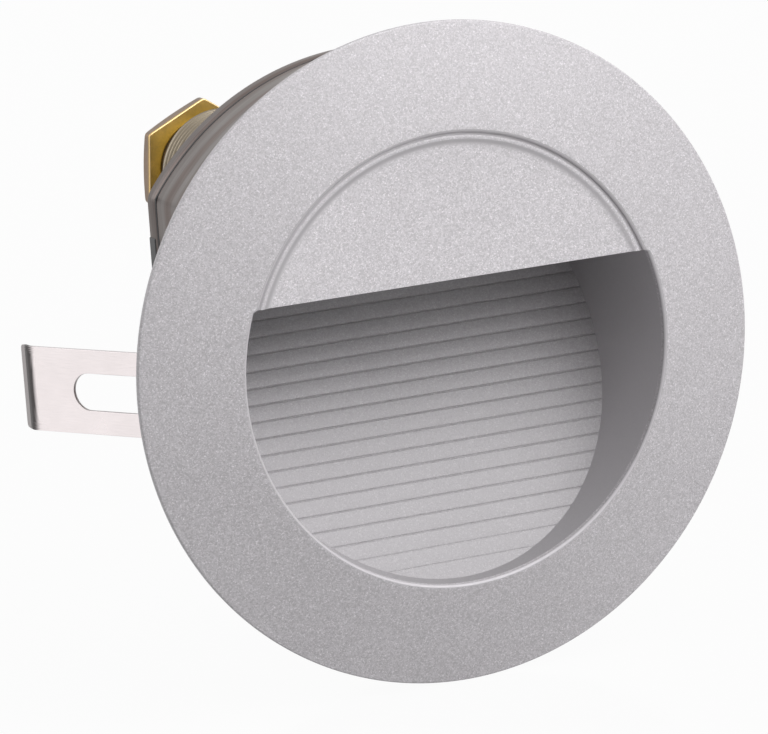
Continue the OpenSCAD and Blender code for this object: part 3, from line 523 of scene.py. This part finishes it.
def wallEnd(a, extra):
    # Depth at which the wall at angle a meets the floor, the upright back or the step, from their planes
    s = np.sin(a)
    y = (floorStart + lean * (tub["radius"] + s * (tub["radius"] + lipY * draft))) / (1 + lean * draft * s)
    high = wallRadius(y) * s > tub["bendZ"]
    y = np.where(high, backY, y)
    return np.where(high & (wallRadius(backY) * s > tub["stepZ"]), tub["stepY"], y) + extra


def tubWall():
    # Rows down the wall's inside and back up its outside
    a = circleOf(tub["turns"])
    end = wallEnd(a, tub["floor"])
    inside, outside = tub["rows"]
    rows = []
    for side, shares in ((0, np.linspace(0, 1, inside)), (tub["wall"], np.linspace(1, 0, outside))):
        y = lipY + shares[:, None] * (end - lipY)
        rows.append(carried(wallRadius(y) + side, y, a))
    return np.concatenate(rows)


def wallPaintedLight():
    # The wall's inside is plain paint with painted light and shade: palest at its sides and darkest deep down
    # under the hood
    a = circleOf(tub["turns"])
    inside, outside = tub["rows"]
    tone = paintedWallTone
    high = np.clip((np.sin(a) - tone["from"]) / tone["span"], 0, 1)
    deep = np.linspace(0, 1, inside)[:, None]
    marks = tone["plain"] + tone["sides"] * np.cos(a) ** 2 - high * (tone["high"] + tone["deep"] * deep)
    return np.concatenate([np.maximum(marks, tone["least"]), np.zeros((outside, tub["turns"]))])


def floorPath():
    # The floor's side view as (y, z), with a groove at every pitch, then the upright back and the step
    length = (tub["bendZ"] + tub["radius"]) / math.cos(tilt)
    across, share = (np.array(groove[k]) for k in ("across", "share"))
    least, more = groove["fade"]
    # Close rows where the floor's edge runs along the wall
    s = (groove["first"] - 2 * groove["half"]) * np.linspace(0, 1, groove["edgeRows"]) ** 2
    depth = 0 * s
    for k in np.arange(groove["first"], length - groove["pitch"], groove["pitch"]):
        s = np.concatenate([s, k + groove["half"] * across])
        depth = np.concatenate([depth, groove["deep"] * (least + more * k / length) * share])
    slope = np.stack([floorStart + s * math.sin(tilt) + depth * math.cos(tilt),
                      -tub["radius"] + s * math.cos(tilt) - depth * math.sin(tilt)], -1)
    bend = [(backY - y, tub["bendZ"] - z) for y, z in tub["bendRows"]]
    step = [(backY, tub["stepZ"]), (tub["stepY"], tub["stepZ"]), (tub["stepY"], tub["radius"])]
    return np.concatenate([slope, bend, step])


def floorSheet(path, shift):
    # The path drawn out across X as wide as the round wall at each depth, and a little into it
    y, z = path[:, :1] + shift, path[:, 1:]
    wide = np.sqrt(np.maximum((wallRadius(y) + tub["floorSink"]) ** 2 - z ** 2, 0.01))
    u = np.linspace(1, -1, tub["columns"])
    return np.stack([wide * u, y + 0 * u, z + 0 * u], -1)


def ceilingSheet(z):
    # The outer and inner rim of the light window's frame, from the round wall to the window's corners
    x, y0, y1 = tub["window"]
    t = np.linspace(0, 1, tub["frameSteps"], endpoint=False)
    across = np.concatenate([2 * t - 1, 0 * t + 1, 1 - 2 * t, 0 * t - 1])
    yOut, yIn = (np.concatenate([0 * t + a, a + (b - a) * t, 0 * t + b, b - (b - a) * t])
                 for a, b in ((hoodBackY, backY + tub["sink"]), (y0, y1)))
    xOut = across * np.sqrt((wallRadius(yOut) + tub["sink"]) ** 2 - z ** 2)
    return [np.stack([u, v, 0 * u + z], -1) for u, v in ((xOut, yOut), (x * across, yIn))]


shape = Shape().loops(tubWall(), wallPaintedLight(), closed=True)
path = floorPath()
under = path.copy()  # the floor's underside has no grooves
plainY = floorStart + (path[:, 1] + tub["radius"]) * lean
under[:, 0] = np.where(path[:, 1] < tub["bendZ"] - 2, plainY, path[:, 0])
shape.slab(floorSheet(path, 0), floorSheet(under, tub["floor"]))

rootR = wallRadius(0) + tub["sink"]
flangeR, flangeT, flangeEase = tub["flange"]
shape.loops(turned(rounded([(rootR, 0, 0), (flangeR, 0, flangeEase), (flangeR, flangeT, flangeEase),
                            (rootR, flangeT, 0)], 4)), closed=True)
(lowOut, lowIn), (highOut, highIn) = (ceilingSheet(z) for z in tub["ceiling"])
shape.loops(np.stack([lowOut, lowIn, highIn, highOut]), closed=True)

lugY = (hood["postEnd"], tub["lugEnd"])
for x, z in postSpots:  # each lug runs out from its post to the wall
    c, s = x / hood["postCircle"], z / hood["postCircle"]
    across = np.array([[-s, c], [s, -c]]) * hood["postRadius"]
    strip = np.stack([across + [r * c, r * s] for r in (hood["postCircle"], tub["radius"])])
    shape.loops(solidRod(x, z, hood["postRadius"], *lugY))
    shape.slab(*(np.insert(strip, 1, y, axis=2) for y in lugY))

bossX, bossZ, bossR = tub["boss"]
for x in (-bossX, bossX):
    boss = solidRod(x, bossZ, bossR, *tub["bossY"])
    floorY = floorStart + lean * (boss[..., 2] + tub["radius"])
    boss[..., 1] = np.maximum(boss[..., 1], floorY + tub["floor"] / 2)  # it starts inside the sloping floor
    shape.loops(boss)
shape.build("reflector_tub", sharp=34)
print("reflector tub done")


# Can and rear cover: round outlines with two flats, drawn through rows of (y, radius, flat)

# eased, shoulder and seam are sizes of corners; rim is the rear edge's profile in pairs of depth and inset; pad
# is Y, Z, radius, thickness and how far it stands proud
can = {"radius": 61.4, "flat": 50.0, "wall": 1.3, "front": -0.5, "collar": 10.5, "rear": 31.45,
       "cover": 32.05, "depth": 36.75, "plate": 1.75, "corner": 0.35, "cornerShare": 0.05,
       "eased": (0.4, 0.12), "shoulder": (0.1, 0.5), "fillet": 0.25, "seam": (0.35, 0.1), "insideEase": 0.2,
       "insideBend": 0.6, "hub": 0.01, "rim": ((0.8, 0), (0.4, 0.1), (0.1, 0.4), (0, 0.9)),
       "plateRows": (0.9, 0.5), "turns": 720, "bossCircle": 56.8, "bossAngles": (52, 102, 232, 308),
       "boss": 3.5, "bossLength": 15.4, "pad": (27.33, -4.0, 4.0, 1.8, 0.65)}
paintedShade = {"from": 0.74, "span": 0.1, "least": 0.35, "stain": 0.1, "reflectionSpan": 0.13}
coverSpots = spotsOn(can["bossCircle"], can["bossAngles"])


def softCut(x, limit, ease):
    # x held within the limit, with a soft corner where it reaches it
    return np.sign(x) * -ease * np.log(np.exp(-np.abs(x) / ease) + np.exp(-limit / ease))


def canRows(rows):
    # Each row is a circle of its radius, held within its flat on both sides
    a = circleOf(can["turns"])
    y, r, flat = (np.array(rows, float)[:, k][:, None] for k in range(3))
    ease = np.minimum(can["corner"], flat * can["cornerShare"])
    return np.stack([softCut(r * np.cos(a), flat, ease), y + 0 * a, r * np.sin(a)], -1)


def paintedCanShade(marks):
    # Painted shade lies thickly along the flats and thinly round the curve, with a painted reflection, a dark
    # stain, on the shoulder of each flat
    a = circleOf(can["turns"])
    past = np.abs(np.cos(a)) - paintedShade["from"]
    share = np.clip(past / paintedShade["span"], 0, 1)
    stain = paintedShade["stain"] * np.exp(-(past / paintedShade["reflectionSpan"]) ** 2) * (np.sin(a) > 0)
    return marks[:, None] * (paintedShade["least"] + (1 - paintedShade["least"]) * share) - stain


outer, flat, wall = can["radius"], can["flat"], can["wall"]
mouthY, collarEnd, rear = can["front"], can["collar"], can["rear"]
whole = outer + 9  # a flat this far out leaves the circle whole
inR, inFlat, lip = outer - wall, flat - wall, can["insideEase"]
(ease, nick), (crest, step), fillet = can["eased"], can["shoulder"], can["fillet"]
soft, fine = can["seam"]
shell = [(mouthY, outer - ease, whole), (mouthY + nick, outer - nick, whole), (mouthY + ease, outer, whole),
         (collarEnd - ease, outer, whole), (collarEnd - nick, outer, outer - crest),
         (collarEnd, outer, outer - step), (collarEnd, outer, flat + fillet),
         (collarEnd + fillet, outer, flat), (rear - soft, outer, flat),
         (rear - fine, outer - fine, flat - fine), (rear, outer - soft, flat - soft),
         (rear, inR + lip, inFlat + lip), (rear - lip, inR, inFlat), (collarEnd - wall, inR, inFlat),
         (collarEnd - wall, inR, inR), (mouthY + lip, inR, whole), (mouthY, inR + lip, whole)]
paintedShadeAt = np.zeros(len(shell))
paintedShadeAt[4:11] = (-0.2, -0.7, -0.8, -0.5, -0.25, -0.7, -0.9)  # painted shade from the collar's edge to the seam
shape = Shape().loops(canRows(shell), paintedCanShade(paintedShadeAt), closed=True)
for x, z in coverSpots:
    shape.loops(solidRod(x, z, can["boss"], rear - can["bossLength"], rear))
padY, padZ, padR, padT, padProud = can["pad"]
for side in (-1, 1):
    pad = solidRod(0, padZ, padR, inFlat - padT, inFlat + padProud)
    shape.loops(np.stack([side * pad[..., 1], padY + pad[..., 0], pad[..., 2]], -1))
shape.build("can_shell", sharp=30)

front, end, plate = can["cover"], can["depth"], can["depth"] - can["plate"]
hub, bend = can["hub"], can["insideBend"]
cover = [(front, outer - soft, flat - soft), (front + fine, outer - fine, flat - fine),
         (front + soft, outer, flat)]
cover += [(end - back, outer - inset, flat - inset) for back, inset in can["rim"]]
cover += [(end, outer * share, flat * share) for share in can["plateRows"]]
cover += [(end, hub, hub), (plate, hub, hub), (plate, inR - bend, inFlat - bend), (plate - bend, inR, inFlat),
          (front + lip, inR, inFlat), (front, inR + lip, inFlat + lip)]
# Painted shade along the cover's front seam and over its rear rim
paintedShadeAt, rimShadeAt = np.zeros((2, len(cover)))
paintedShadeAt[:3] = (-0.9, -0.7, -0.35)
rimShadeAt[3:7] = (-0.4, -0.9, -1, -0.8)
marks = paintedCanShade(paintedShadeAt) + rimShadeAt[:, None]
Shape().loops(canRows(cover), marks, closed=True).build("rear_cover", sharp=30)
print("can and cover done")


# Cable gland: a finely ribbed collar, a threaded neck and a hexagon nut with a domed end

# seat is the radius and depth of the seal's seat in the neck's end
gland = {"axis": (-28.4, 36.8), "collar": 13.5, "thread": 9.8, "hole": 5.5, "start": 37.75,
         "collarEnd": 47.3, "nutY": 56.3, "neckEnd": 61.05, "inner": 29.25, "pitch": 1.5, "rib": 0.5,
         "cut": 0.45, "seat": (7.45, 9.0), "eased": 0.4, "chamfer": 0.3, "ribMargin": 0.5, "glint": 0.65,
         "row": 0.12, "count": 120}
nut = {"across": 25.4, "thick": 3.6, "turn": 25.6, "chamfer": 24.0, "inset": 0.4, "dome": 11.0,
       "domeEnd": 64.1, "domeRound": 1.4, "bore": 9.85, "room": 62.35, "hole": 4.5, "holeEase": 0.4,
       "bevel": 0.24, "count": 360}


def threaded(radius, y0, y1, depth):
    # Radius falls and rises once per pitch along a helix, and fades to plain at both ends
    a, pitch = circleOf(gland["count"]), gland["pitch"]
    y = np.arange(y0, y1, gland["row"])[:, None]
    turn = ((y - y0) / pitch - a / (2 * np.pi)) % 1
    wave = np.clip(np.abs(turn - 0.5) * 2.6 - 0.15, 0, 1)
    fade = np.clip((y - y0) / pitch, 0, 1) * np.clip((y1 - y) / pitch, 0, 1)
    r = radius - depth * (1 - wave) * np.minimum(fade * 2, 1)
    # The second result is a painted highlight on the crests, the glint
    return carried(r, y, a, gland["axis"]), wave * gland["glint"]


def glandBody():
    # One closed outline in five parts, from the inner end over collar and neck to the seal's seat
    hole, thread, collar = gland["hole"], gland["thread"], gland["collar"]
    start, collarEnd, neckEnd = gland["start"], gland["collarEnd"], gland["neckEnd"]
    seatR, seatDeep = gland["seat"]
    e, cut, margin = gland["eased"], gland["chamfer"], gland["ribMargin"]

    def plain(*outline):
        return turned(np.array(outline, float), gland["axis"], gland["count"])

    ribs, ribsGlint = threaded(collar, start + margin, collarEnd - margin, gland["rib"])
    neck, neckGlint = threaded(thread, collarEnd + cut, gland["nutY"], gland["cut"])
    parts = [plain((hole, gland["inner"]), (thread - e, gland["inner"]), (thread, gland["inner"] + e),
                   (thread, start), (collar - e, start), (collar, start + e)),
             ribs,
             plain((collar, collarEnd - e), (collar - e / 4, collarEnd - e / 4), (collar - e, collarEnd),
                   (thread, collarEnd)),
             neck,
             plain((thread, neckEnd - cut), (thread - cut, neckEnd), (seatR, neckEnd),
                   (seatR, neckEnd - seatDeep), (hole, neckEnd - seatDeep))]
    worn = [np.zeros(p.shape[:2]) for p in parts]
    worn[1], worn[3] = ribsGlint, neckGlint
    return Shape().loops(np.concatenate(parts), np.concatenate(worn), closed=True)


def hexRadius(a, across, ease=60):
    # Distance from the middle to a hexagon's side at angle a; a high power mean eases its corners slightly
    sides = np.radians(nut["turn"] + 30 + 60 * np.arange(6))[:, None]
    reach = np.maximum(np.cos(a - sides), 1e-6)
    return across / 2 / (np.sum(reach ** ease, 0)) ** (1 / ease)


def glandNut():
    # Rows from the front face over its bright bevel, along the six sides to the turned rear edge and the dome
    a = circleOf(nut["count"])
    h = hexRadius(a, nut["across"])
    y0, y1, b, ease = gland["nutY"], gland["nutY"] + nut["thick"], nut["bevel"], nut["holeEase"]
    bore, hole, faceR = nut["bore"], nut["hole"], nut["across"] / 2 - nut["inset"]
    cone = y1 - (h - faceR) * math.tan(math.radians(nut["chamfer"]))
    sideY = y0 + b * 1.6
    rows = [(bore, y0 + ease), (bore + ease, y0), (h - b * 1.6, y0), (h - b, y0 + 0.02),
            (h - b * 0.5, y0 + b * 0.22), (h - b * 0.15, y0 + b * 0.55), (h, y0 + b), (h, sideY)]
    rows += [(h, sideY + (cone - sideY) * share) for share in (0.35, 0.7, 0.97)]
    rows += [(h - 0.1, cone + 0.045), (0.5 * (h + faceR), 0.5 * (cone + y1)), (faceR, y1),
             (nut["dome"] + 0.3, y1)]
    rows += rounded([(nut["dome"], y1 - 0.2, 0), (nut["dome"], nut["domeEnd"], nut["domeRound"]),
                     (hole, nut["domeEnd"], ease)], 6)[:-1].tolist()
    rows += [(hole, nut["domeEnd"] - ease), (hole, nut["room"]), (bore, nut["room"])]
    worn = np.zeros(len(rows))
    worn[2:7] = (0.4, 0.9, 1, 1, 0.5)  # painted highlight along the bevel
    worn[7:13] = (-0.85, -1, -1, -1, -0.85, -0.5)  # and painted shade on the sides, which makes them browner
    return Shape().loops(np.stack([carried(r, y, a, gland["axis"]) for r, y in rows]), worn, closed=True)


glandBody().build("gland_body", sharp=40)
glandNut().build("gland_nut", sharp=35)
print("gland done")


# Anchor straps: a slotted strip on a hinge barrel, bent to a short lip

# slot is its start, end and half width; barrel is its radius, bore and length; corner is the power of the
# strip's outline; lipPaintedShade are pairs of a distance past the bend and a mark of painted shade
strap = {"hinge": (-52.2, 14.83, -4.0), "splay": 32.2, "width": 18.2, "thick": 0.8, "length": 41.3,
         "lip": 3.8, "bend": 32.2, "bendRadius": 0.9, "ease": 0.14, "neck": 3.0, "neckLap": (0.4, 0.8),
         "slot": (11.0, 26.0, 4.0), "corner": 34, "barrel": (1.9, 1.05, 8.37), "count": 400,
         "rimPaintedShade": (-0.7, -0.5, -0.35, -0.5),
         "lipPaintedShade": ((-1.3, 0), (-0.6, -1.03), (1.2, -1.03), (1.7, -0.74))}


def strapPlace(along, off, height):
    # Carries a point along the strip round the bend, then swings it out by the splay at the hinge
    bend, r = math.radians(strap["bend"]), strap["bendRadius"]
    start = strap["length"] - r * math.tan(bend / 2)
    turn = np.clip((along - start) / r, 0, bend)
    rest = np.maximum(along - start - r * bend, 0)
    x = np.minimum(along, start) + (r + off) * np.sin(turn) + rest * np.cos(turn)
    y = off * np.cos(turn) - r * (1 - np.cos(turn)) - rest * np.sin(turn)
    x = np.where(turn > 0, x, along)
    swing = math.radians(90 + strap["splay"])
    px = strap["hinge"][0] + x * math.cos(swing) - y * math.sin(swing)
    py = strap["hinge"][1] + x * math.sin(swing) + y * math.cos(swing)
    return np.stack([px, py, strap["hinge"][2] + height], -1)


def strapStrip():
    # Rows from the slot's rim out to the strip's edge on one face and back on the other
    a = circleOf(strap["count"])
    c, s = np.cos(a), np.sin(a)
    x0, x1, r = strap["slot"]
    middle, half = (x0 + x1) / 2, (x1 - x0) / 2
    ends = half * np.abs(c) + np.sqrt(np.maximum(r * r - (half * s) ** 2, 0))
    slot = np.where(r * np.abs(c) <= half * np.abs(s), r / np.maximum(np.abs(s), 1e-9), ends)
    reach = np.where(c > 0, strap["length"] + strap["lip"] - middle, middle - strap["neck"])
    p = strap["corner"]
    rim = ((np.abs(c) / reach) ** p + (np.abs(s) / (strap["width"] / 2)) ** p) ** (-1 / p)
    h, ease = strap["thick"] / 2, strap["ease"]
    # Close rows at the bend
    sheet = np.concatenate([np.linspace(0, 0.79, 24), np.linspace(0.8, 1, 61)])[:, None]
    face = (slot + ease) * (1 - sheet) + (rim - ease) * sheet
    across = np.concatenate([[slot], [slot + 0.3 * ease], face, [rim - 0.3 * ease], [rim]])
    height = np.array([h - ease, h - 0.3 * ease, *[h] * len(sheet), h - 0.3 * ease, h - ease])[:, None]
    marks = strap["rimPaintedShade"]
    mark = np.array([*marks[:2], *[0] * len(sheet), *marks[2:]])[:, None] + 0 * across
    along = middle + across * c
    # Painted shade: the lip is darkened to grey, with a black line over the bend that fades into the strip
    mark = np.minimum(mark, np.interp(along - strap["length"], *zip(*strap["lipPaintedShade"])))
    near, far = (strapPlace(along, side * height, across * s) for side in (1, -1))
    return np.concatenate([near, far[::-1]]), np.concatenate([mark, mark[::-1]])


def strapArm():
    shape = Shape().loops(*strapStrip(), closed=True)
    barrelR, bore, barrelLength = strap["barrel"]
    start, end = bore + strap["neckLap"][0], strap["neck"] + strap["neckLap"][1]
    half = barrelLength / 2
    u, v = np.meshgrid(np.linspace(start, end, 4), np.linspace(-half, half, 4), indexing="ij")
    proud = strap["thick"] / 2 * 0.98  # the neck lies just inside the strip's faces
    shape.slab(strapPlace(u, proud, v), strapPlace(u, -proud, v))
    section = rounded([(bore, -half, 0.1), (barrelR, -half, 0.2), (barrelR, half, 0.2), (bore, half, 0.1)], 3)
    hingeX, hingeY, hingeZ = strap["hinge"]
    barrel = turned(section, (hingeX, hingeY), 48)[..., [0, 2, 1]] + [0, 0, hingeZ]  # its axis runs along Z
    return shape.loops(barrel, closed=True)


arm = strapArm()
arm.build("strap_arm_left", sharp=50)
arm.mirrored().build("strap_arm_right", sharp=50)
print("straps done")


# Screws: a pan head with a hexagon socket on a plain shank

def screw(x, y, z, size, length):
    # Rows from the socket's floor up its six sides, over the domed head and down the shank, along Y
    shankR, headR, high = size
    a = circleOf(48)
    sides = np.radians(60 * np.arange(6))[:, None]
    key = headR * 0.42 * math.cos(math.pi / 6) / np.max(np.cos(a - sides), 0)
    rows = [(10 * onAxis, high * 0.42), (key * 0.96, high * 0.42), (key, high * 0.9),
            (key * 1.08, high * 0.985), (headR * 0.62, high), (headR * 0.82, high * 0.9),
            (headR * 0.95, high * 0.68), (headR, high * 0.38), (headR, 0.12), (headR - 0.12, 0), (shankR, 0),
            (shankR, -length + 0.4), (shankR - 0.4, -length), (10 * onAxis, -length)]
    return np.stack([carried(r, y + h, a, (x, z)) for r, h in rows])


panHead = (1.45, 2.8, 1.8)  # shank radius, head radius and head height
screws = {  # size, length, the depth of the head's seat, and the places
    "tub_screws": (panHead, 4.6, tub["flange"][1], spotsOn(53.425, (45, 135, 225, 315))),
    "hood_screws": ((1.2, 2.2, 1.4), 6.0, tub["lugEnd"], postSpots),
    "cover_screws": ((1.45, 3.1, 2.2), 18.1, can["depth"], coverSpots),
    "sink_screws": (panHead, 4.7, 19.7, [(-17.5, 36.25), (17.5, 36.25)]),
    "driver_screws": (panHead, 7.0, 20.2, [(-bossX, bossZ), (bossX, bossZ)]),
}
for node, (size, length, seat, spots) in screws.items():
    shape = Shape()
    for x, z in spots:
        shape.loops(screw(x, seat, z, size, length))
    shape.build(node, sharp=34)

footScrew = {"size": (1.6, 3.5, 2.0), "length": 3.9, "seatX": 50.9}
shape = Shape()
head = screw(0, 0, 0, footScrew["size"], footScrew["length"])
for side in (-1, 1):  # turned to point along X
    shape.loops(np.stack([side * (footScrew["seatX"] + head[..., 1]), padY + head[..., 0],
                          padZ + head[..., 2]], -1))
shape.build("foot_screws", sharp=34)
print("screws done")


# Inner parts and small trim keep their CAD form, with merged faces and eased edges

easedEdges = {"driver_case": 0.5, "terminal_block": 0.4, "heat_sink": 0.2, "led_board": 0.12,
              "light_window": 0.3, "head_clips": 0.1, "strap_foot_left": 0.12, "strap_foot_right": 0.12,
              "cover_latches": 0.25, "gland_locknut": 0.3, "gland_ring": 0.15, "clip_rivets": 0.25,
              "led_chips": 0.15, "strap_pins": 0.15, "lead_grommet": 0.15, "wall_gasket": 0.2}
for node, bevel in easedEdges.items():
    dressed(node, bevel)
print("inner parts eased:", len(easedEdges))


# Floor, light and camera

# Each lamp has its power in watts, its size and its place
stage = {"floorZ": -70.02, "size": 6000, "white": 0.95, "floorShade": 0.35, "world": 0.17,
         "key": (26.6, 1700, (470, -700, 1040)), "fill": (3.6, 1200, (700, -1300, 100)),
         "glow": (1.2, 900, (-900, -1300, -100)), "rim": (4.5, 900, (-900, 800, 600))}
view = {"place": (-435.54, -951.53, 215.48), "azimuth": -23.862, "elevation": 11.731, "roll": -4.163,
        "lens": 240, "sensor": 36, "clip": (0.05, 30)}
white = (1, 1, 1, 1)


def seenBy(finish, *kinds):
    # 1 for rays of the named kinds and 0 for all others
    path = finish.tree.nodes.new("ShaderNodeLightPath")
    seen, *others = (Value(finish, path.outputs["Is %s Ray" % kind]) for kind in kinds)
    for other in others:
        seen = seen.math("MAXIMUM", other)
    return seen


def makeFloor():
    # White as the camera and the reflections see it, over the lit floor, which keeps the shadow
    f = Finish("paleFloor")
    haze = f.noise(f.place(), 0.004, 2)
    shade = (*[stage["floorShade"]] * 3, 1)
    lit = f.node("ShaderNodeBsdfPrincipled", {}, {"Base Color": shade, "Roughness": 0.12 + haze * 0.02})
    plain = f.node("ShaderNodeEmission", {}, {"Color": white, "Strength": 1.0})
    share = seenBy(f, "Camera", "Glossy", "Transmission") * stage["white"]
    mixed = f.node("ShaderNodeMixShader", {}, {0: share, 1: lit, 2: plain})
    f.node("ShaderNodeOutputMaterial", {}, {0: mixed})
    half = stage["size"] / 2 * mm
    mesh = bpy.data.meshes.new("floor")
    corners = [(-half, -half, 0), (half, -half, 0), (half, half, 0), (-half, half, 0)]
    mesh.from_pydata(corners, [], [(0, 1, 2, 3)])
    mesh.transform(Matrix.Translation((0, 0, stage["floorZ"] * mm)))
    floor = bpy.data.objects.new("floor", mesh)
    bpy.context.scene.collection.objects.link(floor)
    mesh.materials.append(f.owner)


def makeWorld():
    # A dim white room that looks plain white to the camera and in reflections
    world = bpy.data.worlds.new("studio")
    bpy.context.scene.world = world
    f = Finish("studio", world)
    dim, plain = (f.node("ShaderNodeBackground", {}, {0: white, 1: power}) for power in (stage["world"], 1.0))
    mixed = f.node("ShaderNodeMixShader", {}, {0: seenBy(f, "Camera", "Glossy"), 1: dim, 2: plain})
    f.node("ShaderNodeOutputWorld", {}, {0: mixed})


def makeLamp(name, power, size, place):
    lamp = bpy.data.lights.new(name, "AREA")
    lamp.energy, lamp.size = power, size * mm
    holder = bpy.data.objects.new(name, lamp)
    bpy.context.scene.collection.objects.link(holder)
    holder.location = [p * mm for p in place]
    back = holder.location.normalized()
    holder.rotation_euler = back.to_track_quat("Z", "Y").to_euler()


def makeCamera():
    # The photograph's viewpoint: the camera's back axis from azimuth and elevation, then turned by the roll
    a, e, r = (math.radians(view[k]) for k in ("azimuth", "elevation", "roll"))
    back = np.array([math.sin(a) * math.cos(e), -math.cos(a) * math.cos(e), math.sin(e)])
    level = np.array([math.cos(a), math.sin(a), 0])
    upright = np.cross(back, level)
    right = level * math.cos(r) + upright * math.sin(r)
    up = np.cross(back, right)
    data = bpy.data.cameras.new("camera")
    data.lens, data.sensor_width, data.sensor_fit = view["lens"], view["sensor"], "HORIZONTAL"
    data.clip_start, data.clip_end = view["clip"]
    holder = bpy.data.objects.new("camera", data)
    bpy.context.scene.collection.objects.link(holder)
    turn = Matrix(np.column_stack([right, up, back]).tolist()).to_4x4()
    holder.matrix_world = Matrix.Translation([p * mm for p in view["place"]]) @ turn
    bpy.context.scene.camera = holder


makeFloor()
makeWorld()
for name in ("key", "fill", "glow", "rim"):
    makeLamp(name, *stage[name])
makeCamera()
bpy.context.scene.view_settings.view_transform = "Standard"
print("stage done")
